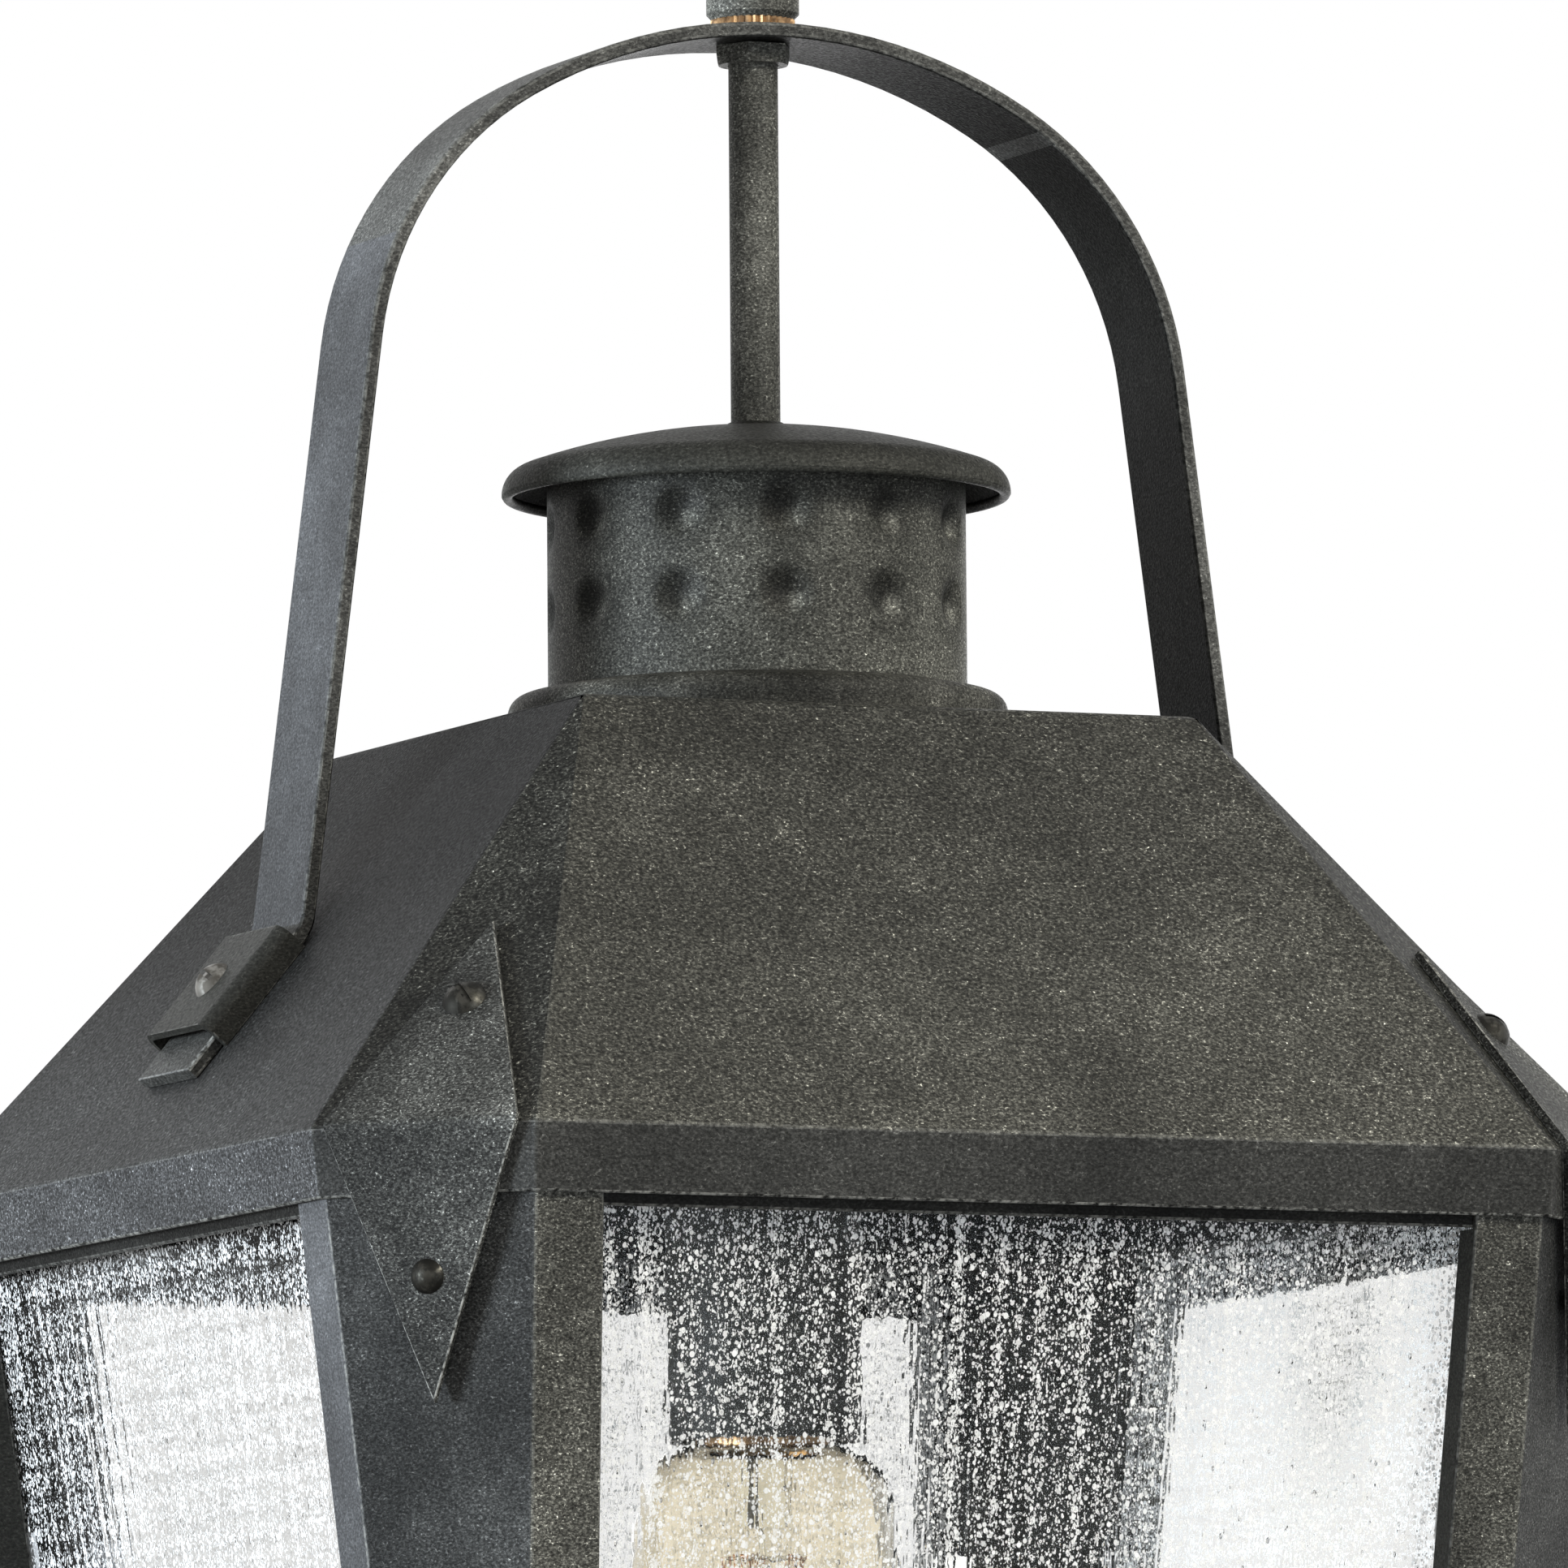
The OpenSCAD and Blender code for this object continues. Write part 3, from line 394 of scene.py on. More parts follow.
@dataclass(frozen=True)
class BareMetal:
    """Plain metal with drawn scratches and some tarnish.

    Attributes:
        name: name of the material.
        bright: colour of the clean metal.
        dull: colour of the tarnish.
        gloss: roughness of the clean metal.
        tarnish: how far the tarnish spreads, from 0 to 1.
        spot: width of the spots of tarnish in metres.
        scratch: distance between the scratches in metres.
    """

    name: str
    bright: Colour
    dull: Colour
    gloss: float
    tarnish: float
    spot: float = 4 * MM
    scratch: float = 1.6 * MM

    def make(self) -> bpy.types.Material:
        """Builds the material.

        Returns:
            The material.
        """
        board = Board(self.name)
        begin, full = 0.62 - 0.3 * self.tarnish, 0.72 - 0.2 * self.tarnish
        stain = board.noise(board.place(), self.spot, 4.0, 0.6).rise(begin, full)
        scratch = board.noise(board.place((1.0, 1.0, 14.0)), self.scratch, 3.0, 0.7)
        return board.surface({
            "Base Color": board.mix(0.8 * stain, self.bright, self.dull),
            "Roughness": self.gloss + 0.25 * stain + 0.1 * scratch,
            "Metallic": 1.0,
            "Normal": board.bump(scratch + 0.4 * stain, 0.02 * MM, 0.5),
        })


@dataclass(frozen=True)
class SeededGlass:
    """Wavy clear sheet glass, crowded with drawn white seeds and a few round bubbles.

    Attributes:
        name: name of the material.
        tint: colour that one face passes.
        milk: colour of the seeds.
        seed: width of the finest seeds in metres.
        beads: distances between the round seeds, as multiples of the seed's width.
        bubble: distance between the round bubbles in metres.
        wave: height of the waves in metres.
        sheen: share of the mirror light that plain glass would give.
        index: refractive index.
        columns: drawn columns per radian round the lantern.
        crowd: width of the places where the seeds crowd, in metres.
        ripple: distance between the waves in metres.
    """

    name: str
    tint: Colour = (0.955, 0.955, 0.952)
    painted_seed_light: Colour = (0.95, 0.95, 0.94)
    seed: float = 0.5 * MM
    beads: tuple[float, float] = (2.6, 1.5)
    bubble: float = 2.6 * MM
    wave: float = 0.03 * MM
    sheen: float = 0.15
    index: float = 1.45
    columns: float = 42.0
    crowd: float = 11 * MM
    ripple: float = 1.9 * MM

    def make(self) -> bpy.types.Material:
        """Builds the material.

        Returns:
            The material.
        """
        board = Board(self.name)
        drawn = board.place((1.0, 1.0, 0.5))
        column = self._column(board)
        dense = 0.6 * (column - 0.5) + 0.2 * (board.noise(drawn, self.crowd) - 0.5)
        seeds = 0.9 * (board.noise(drawn, self.seed) + 0.5 * dense).rise(*SEED)
        near = board.place((1.0, 1.0, 0.85))
        for times in self.beads:
            seeds = seeds.larger(self._beads(board, near, times * self.seed, dense))
        height = board.noise(board.place((1.0, 1.0, 0.3)), self.ripple, 1.0) + 1.4 * column
        sheet = self._sheet(board, board.bump(height, self.wave, 1.0))
        # painted highlight: the seeds are a white diffuse surface standing in for the light that
        # clear seeds bend and reflect
        white = board.add("ShaderNodeBsdfDiffuse", sockets={"Color": (*self.painted_seed_light, 1.0)})
        sheet_with_painted_seeds = board.add("ShaderNodeMixShader", sockets={0: seeds, 1: sheet, 2: white})
        bubble, cover = self._bubbles(board, drawn)
        lens = board.add(
            "ShaderNodeBsdfGlass",
            sockets={
                "Color": (*self.tint, 1.0),
                "Roughness": 0.0,
                "IOR": 1.6,
                "Normal": board.bump(bubble * self.bubble, 1.0, 1.0),
            },
        )
        return board.close(board.add("ShaderNodeMixShader", sockets={0: cover, 1: sheet_with_painted_seeds, 2: lens}))

    def _column(self, board: Board) -> Shade:
        """Upright columns, in which the glass was drawn, by the angle round the lantern.

        Args:
            board: the material's board.

        Returns:
            A value about 0.5.
        """
        east = board.add("ShaderNodeSeparateXYZ", sockets={0: board.place()}, out="X")
        north = east.beside("Y")
        turn = board.add(
            "ShaderNodeMath", {"operation": "ARCTAN2"}, {0: east + north, 1: east - north}
        )
        return board.add(
            "ShaderNodeTexNoise",
            {"noise_dimensions": "1D"},
            {"W": turn * self.columns, "Scale": 1.0, "Detail": 2.0},
        )

    def _sheet(self, board: Board, wavy: Shade) -> Shade:
        """Clear sheet, which bends what the camera sees and lets other light straight through.

        Args:
            board: the material's board.
            wavy: its normal.

        Returns:
            Its shader.
        """
        tint = (*self.tint, 1.0)
        clear = board.add(
            "ShaderNodeBsdfRefraction",
            sockets={"Color": tint, "Roughness": 0.0, "IOR": self.index, "Normal": wavy},
        )
        through = board.add("ShaderNodeBsdfTransparent", sockets={"Color": tint})
        path = board.add("ShaderNodeLightPath", out="Is Camera Ray")
        straight = 1 - path.larger(path.beside("Is Transmission Ray"))
        flat = board.add("ShaderNodeMixShader", sockets={0: straight, 1: clear, 2: through})
        mirror = board.add("ShaderNodeBsdfGlossy", sockets={"Roughness": 0.04, "Normal": wavy})
        facing = self.sheen * board.add("ShaderNodeFresnel", sockets={"IOR": self.index})
        return board.add("ShaderNodeMixShader", sockets={0: facing, 1: flat, 2: mirror})

    @staticmethod
    def _cells(board: Board, place: Shade, spacing: float) -> tuple[Shade, Shade]:
        """Scattered points, one for each seed or bubble.

        Args:
            board: the material's board.
            place: where they are looked up.
            spacing: distance between them in metres.

        Returns:
            Distance from the nearest as a share of the spacing, and its random value.
        """
        gap = board.add(
            "ShaderNodeTexVoronoi", sockets={"Vector": place, "Scale": 1 / spacing}, out="Distance"
        )
        return gap, board.add("ShaderNodeSeparateColor", sockets={0: gap.beside("Color")})

    def _beads(self, board: Board, place: Shade, spacing: float, dense: Shade) -> Shade:
        """Round white seeds, some of them rings.

        Args:
            board: the material's board.
            place: where they are looked up.
            spacing: distance between them in metres.
            dense: how much larger they are, from place to place.

        Returns:
            Their cover.
        """
        gap, chance = self._cells(board, place, spacing)
        size = 0.05 + 0.4 * chance * chance + 0.5 * dense
        disc = (size - gap).rise(*BEAD)
        hollow = (0.45 * size - gap).rise(*BEAD) * chance.beside("Green").rise(0.6, 0.66)
        return disc * (1 - hollow) * (0.6 + 0.4 * chance.beside("Blue"))

    def _bubbles(self, board: Board, place: Shade) -> tuple[Shade, Shade]:
        """Small clear bubbles, which bend what lies behind them.

        Args:
            board: the material's board.
            place: where they are looked up.

        Returns:
            Their height as a share of their spacing, and where they lie.
        """
        gap, chance = self._cells(board, place, self.bubble)
        size = 0.05 + 0.09 * chance
        inside = (size * size - gap * gap).larger(0.0)
        return inside**0.5, inside.rise(0.0, 0.002)


@dataclass(frozen=True)
class BlownGlass:
    """Smooth glass with a faint ripple.

    Attributes:
        name: name of the material.
        tint: colour that passes one wall.
        ripple: height of the ripple in metres.
        clear: share of light that passes.
        gloss: roughness.
        dust: colour of the dust on it.
    """

    name: str
    tint: Colour
    ripple: float = 0.03 * MM
    clear: float = 1.0
    gloss: float = 0.02
    dust: Colour = (0.9, 0.9, 0.88)

    def make(self) -> bpy.types.Material:
        """Builds the material.

        Returns:
            The material.
        """
        board = Board(self.name)
        wave = board.noise(board.place((1.0, 1.0, 0.4)), 7 * MM)
        dust = board.noise(board.place(), 2.5 * MM, 3.0).rise(0.5, 0.8)
        return board.surface({
            "Base Color": board.mix(0.2 * dust, self.tint, self.dust),
            "Roughness": self.gloss + 0.05 * dust,
            "IOR": 1.45,
            "Transmission Weight": self.clear,
            "Normal": board.bump(wave, self.ripple, 0.7),
        })


@dataclass(frozen=True)
class Glaze:
    """Glazed or moulded surface with speckles and a soft ripple.

    Attributes:
        name: name of the material.
        body: colour of the body.
        speck: colour of the speckles.
        gloss: roughness.
    """

    name: str
    body: Colour
    speck: Colour
    gloss: float

    def make(self) -> bpy.types.Material:
        """Builds the material.

        Returns:
            The material.
        """
        board = Board(self.name)
        place = board.place()
        specks = board.noise(place, 0.7 * MM, 1.0).rise(*SPECK)
        wave = board.noise(place, 5 * MM)
        return board.surface({
            "Base Color": board.mix(0.5 * specks + 0.12 * wave, self.body, self.speck),
            "Roughness": self.gloss + 0.1 * wave,
            "Coat Weight": 0.6,
            "Normal": board.bump(wave, 0.08 * MM, 0.5),
        })


class Coat(Enum):
    """The ways in which the powder coat lies on the pieces: tone, flecks, patches and wear."""

    # painted light: lighter at the foot of the roof and darker towards its top
    ROOF = MottledCoat(
        "coat_roof", (0.0433, 0.0428, 0.037), spread=0.9, cloud=0.18,
        painted_light_heights=ROOF_RISE, depth=-0.4, wear=0.8,
    )
    # painted shade: a darker copy of the roof coat for the left and right slopes, darker still
    # towards their top
    PAINTED_SHADE_SLOPE = MottledCoat(
        "coat_slope_painted_shade", (0.0127, 0.0127, 0.0123), spread=0.75, cloud=0.15,
        painted_light_heights=ROOF_RISE, depth=-1.9, shine=0.06,
    )
    # painted shade: a darker copy of the roof coat for the roof's facets
    PAINTED_SHADE_FACET = MottledCoat("coat_facet_painted_shade", (0.0175, 0.0175, 0.0152), spread=1.1)
    RIM = MottledCoat("coat_rim", (0.034, 0.034, 0.0318), cloud=0.2, wear=1.0)
    STACK = MottledCoat(
        "coat_stack", (0.058, 0.058, 0.0505), grain=FINE, spread=0.8, cloud=0.2, wear=0.6
    )
    # painted light: lighter at the cap's lip and darker on its dome
    CAP = MottledCoat(
        "coat_cap", (0.027, 0.027, 0.0235), spread=0.45, cloud=0.2,
        painted_light_heights=(-0.132, -0.122), depth=-0.8, shine=0.08,
    )
    FOOT = MottledCoat("coat_foot", (0.044, 0.0435, 0.038), grain=FINE, spread=0.7, cloud=0.5)
    STEM = MottledCoat("coat_stem", (0.0835, 0.0835, 0.0742), grain=FINE, spread=0.7, cloud=0.3)
    # painted light: the upper half, which lies on the roof, is lighter and the lower half darker
    KITE = MottledCoat(
        "coat_kite", (0.0318, 0.0322, 0.0297), grain=FINE, spread=0.95, cloud=0.4,
        painted_light_heights=(-0.2765, -0.2735), depth=0.45, wear=1.0,
    )
    POST = MottledCoat("coat_post", (0.027, 0.0275, 0.0265), grain=FINE, spread=0.7, wear=0.12)
    FLANGE = MottledCoat(
        "coat_flange", (0.06, 0.0595, 0.052), grain=FINE, spread=0.9,
        relief=0.08 * MM, wear=0.2,
    )
    STRAP = MottledCoat("coat_strap", (0.06, 0.06, 0.056), spread=0.5, relief=0.08 * MM, wear=0.8)
    # painted light: a lighter, cooler copy of the rim coat for the sides of the rim
    PAINTED_LIGHT_SIDE = MottledCoat("coat_side_painted_light", (0.044, 0.045, 0.046), spread=0.9, cloud=0.2, wear=1.0)
    # painted light: a lighter, cooler copy of the coat for the strap's legs and the posts' flanges
    # that face to the side
    PAINTED_LIGHT_LEG = MottledCoat("coat_leg_painted_light", (0.072, 0.074, 0.077), spread=0.35, cloud=0.25, wear=0.6)
    SHADE = MottledCoat("coat_shade", (0.012, 0.012, 0.011), spread=0.4, shine=0.05)
    PLAIN = MottledCoat("coat_plain", (0.029, 0.029, 0.0255), spread=0.4, cloud=0.2)


class Finish(Enum):
    """The finishes other than the powder coat."""

    SCREW = BareMetal("blued_steel", (0.06, 0.058, 0.05), (0.009, 0.0088, 0.008), 0.26, 0.85)
    WORN = BareMetal("worn_steel", (0.24, 0.235, 0.215), (0.045, 0.038, 0.03), 0.34, 0.75)
    ZINC = BareMetal("zinc_plate", (0.66, 0.67, 0.69), (0.36, 0.36, 0.35), 0.3, 0.35)
    OLD_BRASS = BareMetal("browned_brass", (0.46, 0.3, 0.16), (0.16, 0.1, 0.06), 0.4, 0.6)
    BRASS = BareMetal("rolled_brass", (0.6, 0.46, 0.24), (0.24, 0.17, 0.09), 0.3, 0.55)
    SOLDER = BareMetal("solder_tip", (0.62, 0.62, 0.6), (0.4, 0.4, 0.38), 0.42, 0.4)
    PANE = SeededGlass("seeded_pane")
    AMBER = BlownGlass("amber_envelope", (0.992, 0.94, 0.82), 0.04 * MM)
    CLEAR = BlownGlass("clear_mount", (0.97, 0.98, 0.96))
    BLACK = Glaze("vitrified_black", (0.02, 0.02, 0.025), (0.05, 0.05, 0.055), 0.1)
    PORCELAIN = Glaze("white_porcelain", (0.82, 0.8, 0.74), (0.5, 0.46, 0.4), 0.12)
    THREAD = Glaze("carbon_thread", (0.2, 0.09, 0.035), (0.32, 0.16, 0.07), 0.4)


class Dresser:
    """Keeps the finished materials and hands them to pieces."""

    def __init__(self) -> None:
        """Starts with no material made and reads the slots from the packed record."""
        self.made: dict[str, bpy.types.Material] = {}
        self.slots = {part["node"]: part["material_slot"] for part in frame["record"]["subparts"]}

    def material(self, finish: Enum) -> bpy.types.Material:
        """Makes a material on its first use.

        Args:
            finish: its finish.

        Returns:
            The material.
        """
        name = finish.value.name
        if name not in self.made:
            self.made[name] = finish.value.make()
        return self.made[name]

    def paint(self, piece: bpy.types.Object, *finishes: Enum) -> None:
        """Gives a piece its materials.

        Args:
            piece: mesh object.
            finishes: one for each material index of its faces.
        """
        if piece.get("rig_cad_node"):
            if not piece.material_slots:
                piece.data.materials.append(None)
            for slot in piece.material_slots:
                slot.material = self.material(finishes[0])
            return
        for finish in finishes:
            piece.data.materials.append(self.material(finish))

    def keep(self, finish: Enum, *nodes: str) -> None:
        """Leaves CAD nodes in place and gives them a finish.

        Args:
            finish: their finish.
            nodes: names of the nodes.
        """
        for node in nodes:
            self.paint(frame["nodes"][node], finish)
            log.info("kept %s with %s", node, finish.value.name)

    def replace(self, piece: bpy.types.Object, node: str, *finishes: Enum) -> None:
        """Lets a piece stand for a CAD node.

        Args:
            piece: the new piece, in place.
            node: the node that it stands for.
            finishes: one for each material index of its faces.
        """
        self.paint(piece, *finishes)
        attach(piece, frame["nodes"][node]["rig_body"])
        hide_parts(node)
        log.info("built %s with %d faces", piece.name, len(piece.data.polygons))


def add_piece(name: str, work: bmesh.types.BMesh, crease: float) -> bpy.types.Object:
    """Adds a mesh to the scene.

    Args:
        name: name of the piece.
        work: the mesh, which is freed.
        crease: smallest angle between faces that stays sharp, in radians.

    Returns:
        The piece.
    """
    mesh = bpy.data.meshes.new(name)
    work.to_mesh(mesh)
    work.free()
    mesh.shade_smooth()
    mesh.set_sharp_from_angle(angle=crease)
    piece = bpy.data.objects.new(name, mesh)
    bpy.context.scene.collection.objects.link(piece)
    return piece


@dataclass
class EasedSheet:
    """Copy of a folded or cut node whose long edges are rounded and marked for wear.

    Attributes:
        node: name of the CAD node.
        ease: width of the rounding in metres.
        least: shortest edge that is rounded, in metres.
        fold: smallest angle between faces that counts as an edge, in degrees.
        steps: faces across the rounding.
        sort: gives a face's material index from its centre and its normal.
        rub: gives the wear of a rounded edge's face from the face's centre.
    """

    node: str
    ease: float
    least: float
    fold: float = 20.0
    steps: int = 3
    sort: Callable[[Vector, Vector], int] = lambda centre, normal: 0
    wear_and_painted_light: Callable[[Vector], float] = lambda centre: 1.0

    def build(self) -> bpy.types.Object:
        """Builds the piece at the node's place.

        Returns:
            The piece.
        """
        work = bmesh.new()
        work.from_mesh(frame["nodes"][self.node].data)
        bmesh.ops.remove_doubles(work, verts=work.verts, dist=WELD)
        bmesh.ops.dissolve_limit(work, angle_limit=COPLANAR, verts=work.verts, edges=work.edges)
        sharp = [
            edge
            for edge in work.edges
            if len(edge.link_faces) == 2
            and edge.calc_length() > self.least
            and edge.calc_face_angle() > math.radians(self.fold)
        ]
        made = bmesh.ops.bevel(
            work, geom=sharp, offset=self.ease, offset_type="OFFSET", segments=self.steps,
            profile=0.5, affect="EDGES", clamp_overlap=False,
        )
        low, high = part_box(self.node)
        for vert in work.verts:
            vert.co = [min(max(value, a), b) for value, a, b in zip(vert.co, low, high)]
        wear = work.loops.layers.float.new("edge_wear")
        for face in made["faces"]:
            worn = self.wear_and_painted_light(face.calc_center_median())
            for loop in face.loops:
                loop[wear] = worn
        work.normal_update()
        for face in work.faces:
            face.material_index = self.sort(face.calc_center_median(), face.normal)
        piece = add_piece(f"{self.node}_eased", work, CREASE)
        piece.modifiers.new("flat_faces", "WEIGHTED_NORMAL").keep_sharp = True
        return piece


def join_rings(name: str, work: bmesh.types.BMesh, outer: list, inner: list) -> bpy.types.Object:
    """Joins rings of points into the closed skin of a tube.

    Args:
        name: name of the piece.
        work: mesh that holds the points.
        outer: rings of the outside from the foot up.
        inner: rings of the inside from the foot up.

    Returns:
        The piece.
    """
    bands = list(zip(outer, outer[1:])) + list(zip(inner[1:], inner))
    bands += [(inner[0], outer[0]), (outer[-1], inner[-1])]
    for lower, upper in bands:
        corners = zip(lower, lower[1:] + lower[:1], upper[1:] + upper[:1], upper)
        for corner in corners:
            work.faces.new(corner)
    return add_piece(name, work, TUBE_CREASE)


@dataclass
class ThreadedBase:
    """Thin brass base of the lamp with its rolled thread.

    Attributes:
        node: name of the CAD node, which gives its place and size.
        wall: thickness of the sheet in metres.
        pitch: distance between turns in metres.
        depth: depth of the thread in metres.
        plain: height without thread at the foot and at the shoulder, in metres.
        shoulder: height and width of the cone at the top, in metres.
        lip: width of the shoulder and the flat rim on it, in metres.
        row: height of a row of faces in metres.
        steps: faces round the base.
    """

    node: str = "lamp_base"
    wall: float = 0.4 * MM
    pitch: float = 3.6 * MM
    depth: float = 1.1 * MM
    plain: float = 3.0 * MM
    shoulder: float = 2.0 * MM
    lip: float = 5.0 * MM
    row: float = 0.3 * MM
    steps: int = 120

    def build(self) -> bpy.types.Object:
        """Builds the piece at the node's place.

        Returns:
            The piece.
        """
        low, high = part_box(self.node)
        tall = high.z - low.z
        side = tall - self.shoulder
        rows = round(side / self.row)
        profile = [(0.0, side * row / rows) for row in range(rows + 1)]
        profile += [(self.shoulder, tall), (self.lip, tall)]
        work = bmesh.new()
        rings = []
        for skin in (0.0, self.wall):
            for inset, height in profile:
                inward = inset + (skin if inset < self.lip else 0.0)
                level = low.z + min(height, tall - skin)
                ring = []
                for step in range(self.steps):
                    turn = 2 * math.pi * step / self.steps
                    reach = high.x - inward - self._groove(turn, height, side)
                    ring.append(
                        work.verts.new((reach * math.cos(turn), reach * math.sin(turn), level))
                    )
                rings.append(ring)
        return join_rings("threaded_base", work, rings[: len(profile)], rings[len(profile) :])

    def _groove(self, turn: float, height: float, side: float) -> float:
        """Depth of the thread.

        Args:
            turn: angle round the base in radians.
            height: height over the base's foot in metres.
            side: height of the base's straight side in metres.

        Returns:
            The depth in metres.
        """
        room = min(height - self.plain, side - self.plain - height) / self.pitch
        wave = 0.5 - 0.5 * math.cos(2 * math.pi * height / self.pitch - turn)
        return self.depth * wave * min(max(2 * room, 0.0), 1.0)


@dataclass
class DimpledTube:
    """Chimney tube with soft dimples pressed into it.

    Attributes:
        node: name of the CAD node, which gives its place and size.
        wall: thickness of the sheet in metres.
        count: dimples in a row.
        rows: heights of the rows over the tube's foot, in metres.
        reach: radius of a dimple where it meets the tube, in metres.
        depth: depth of a dimple in metres.
        row: height of a row of faces in metres.
        steps: faces round the tube.
        ring: how much darker the coat is round a dimple, as a power of e like the five below.
        deep: how much darker it is on the dimple's upper left.
        bright: how much lighter it is on the dimple's lower right.
        around: how far it turns from light to dark round the tube.
        foot: how far it turns from light to dark from the foot up.
        cap: how much darker it is under the cap.
        light: angle round the tube that is lightest, in radians.
        eaves: height under the cap that is darker, in metres.
    """

    node: str = "chimney_tube"
    wall: float = 1.5 * MM
    count: int = 12
    rows: tuple[float, ...] = (25.4 * MM, 42.8 * MM)
    reach: float = 5.8 * MM
    depth: float = 1.9 * MM
    row: float = 1.1 * MM
    steps: int = 300
    ring: float = 0.5
    deep: float = 1.0
    bright: float = 1.2
    around: float = 0.25
    foot: float = 0.3
    cap: float = 0.6
    light: float = -0.95
    eaves: float = 13 * MM

    def build(self) -> bpy.types.Object:
        """Builds the piece at the node's place.

        Returns:
            The piece.
        """
        low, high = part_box(self.node)
        radius, foot = high.x, low.z
        tall = high.z - foot
        levels = round(tall / self.row)
        work = bmesh.new()
        wear_and_painted_light = work.verts.layers.float.new("wear_and_painted_light")
        rings = []
        for skin in (0.0, self.wall):
            for level in range(levels + 1):
                height = tall * level / levels
                ring = []
                for step in range(self.steps):
                    turn = 2 * math.pi * step / self.steps
                    along, above = self._offset(turn, height, radius)
                    press = self.depth * self._hill(math.hypot(along, above), self.reach) ** 1.5
                    reach = radius - skin - press
                    point = work.verts.new(
                        (reach * math.cos(turn), reach * math.sin(turn), foot + height)
                    )
                    # painted light: painted shade and highlights round the dimples and the tube,
                    # stored for the coat
                    point[wear_and_painted_light] = self._painted_dimple_light(along, above) + self._painted_tube_light(turn, height, tall)
                    ring.append(point)
                rings.append(ring)
        return join_rings("dimpled_tube", work, rings[: levels + 1], rings[levels + 1 :])

    def _painted_dimple_light(self, along: float, above: float) -> float:
        """Shade of the coat in and round a dimple.

        Args:
            along: distance to the right of its middle in metres.
            above: distance above its middle in metres.

        Returns:
            The shade as a power of e.
        """
        aside = 0.25 * self.reach
        return (
            self.bright * self._hill(math.hypot(along - aside, above + aside), 0.5 * self.reach)
            - self.deep * self._hill(math.hypot(along + aside, above - aside), 0.85 * self.reach)
            - self.ring * self._hill(math.hypot(along, above), 1.8 * self.reach)
        )

    def _painted_tube_light(self, turn: float, height: float, tall: float) -> float:
        """Shade of the coat round the tube and from its foot to the cap.

        Args:
            turn: angle round the tube in radians.
            height: height over the tube's foot in metres.
            tall: height of the tube in metres.

        Returns:
            The shade as a power of e.
        """
        return (
            self.around * math.cos(turn - self.light)
            + self.foot * (0.5 - height / tall)
            - self.cap * self._hill(tall - height, self.eaves)
        )

    @staticmethod
    def _hill(gap: float, reach: float) -> float:
        """Height of a round hill, 1 at its middle and 0 from its reach on."""
        return max(0.0, 1 - (gap / reach) ** 2)

    def _offset(self, turn: float, height: float, radius: float) -> tuple[float, float]:
        """Offset on the tube from the nearest dimple.

        Args:
            turn: angle round the tube in radians.
            height: height over the tube's foot in metres.
            radius: radius of the tube in metres.

        Returns:
            The distance to the right and the distance above, in metres.
        """
        pitch = 2 * math.pi / self.count
        along = ((turn / pitch) % 1 - 0.5) * pitch * radius
        return along, min((height - row for row in self.rows), key=abs)


@dataclass
class Part:
    """A sub-assembly of the lantern.

    Attributes:
        dresser: hands out the materials.
    """

    dresser: Dresser


class HangingTop(Part):
    """Eye, washer, stem and nuts."""

    def build(self) -> None:
        """Dresses the pieces."""
        self.dresser.keep(Coat.STEM, "hanging_loop", "stem_pipe", "arch_lock_nut")
        self.dresser.keep(Finish.OLD_BRASS, "serrated_washer")
        self.dresser.keep(Finish.ZINC, "stem_lock_nuts")


@dataclass
class StrapArch(Part):
    """Bent strap with its clips and their fasteners.

    Attributes:
        leg: distance from the axis at which the legs begin, in metres.
        knee: height over which the edges are less worn, in metres.
        foot: height under which the inside isn't shaded, in metres.
        ease: width of the rounding in metres.
    """

    leg: float = 60 * MM
    knee: float = -200 * MM
    foot: float = -235 * MM
    ease: float = 0.3 * MM

    def strap_face(self, centre: Vector, normal: Vector) -> int:
        """Sorts a face of the strap.

        Args:
            centre: its centre.
            normal: its normal.

        Returns:
            1 inside the arch, 2 outside its legs and 0 elsewhere.
        """
        inward = -normal.x * math.copysign(1, centre.x)
        in_leg = abs(centre.x) > self.leg
        if in_leg and inward < -0.9:
            return 2
        hollow = inward > 0.6 if in_leg else normal.z < -0.6
        return 1 if hollow and centre.z > self.foot else 0

    def strap_rub(self, point: Vector) -> float:
        """Wear of the strap's edges, strongest round the bends at its feet."""
        return 1.0 if point.z < self.knee else 0.4

    def build(self) -> None:
        """Dresses the pieces."""
        sheet = EasedSheet(
            "arch_strap", self.ease, least=2 * MM, fold=12.0,
            sort=self.strap_face, wear_and_painted_light=self.strap_rub,
        )
        # the outside of the legs gets a lighter copy of the coat, painted light, and the inside of
        # the arch painted shade
        self.dresser.replace(sheet.build(), "arch_strap", Coat.STRAP, Coat.SHADE, Coat.PAINTED_LIGHT_LEG)
        for side in ("left", "right"):
            node = f"strap_clip_{side}"
            piece = EasedSheet(node, self.ease, least=4 * MM).build()
            self.dresser.replace(piece, node, Coat.PLAIN)
        self.dresser.keep(Finish.WORN, "clip_screws")
        self.dresser.keep(Finish.ZINC, "clip_nuts")


class Chimney(Part):
    """Dimpled tube with its foot flange and its cap."""

    def build(self) -> None:
        """Dresses the pieces."""
        self.dresser.replace(DimpledTube().build(), "chimney_tube", Coat.STACK)
        self.dresser.keep(Coat.CAP, "chimney_cap")
        self.dresser.keep(Coat.FOOT, "chimney_flange")


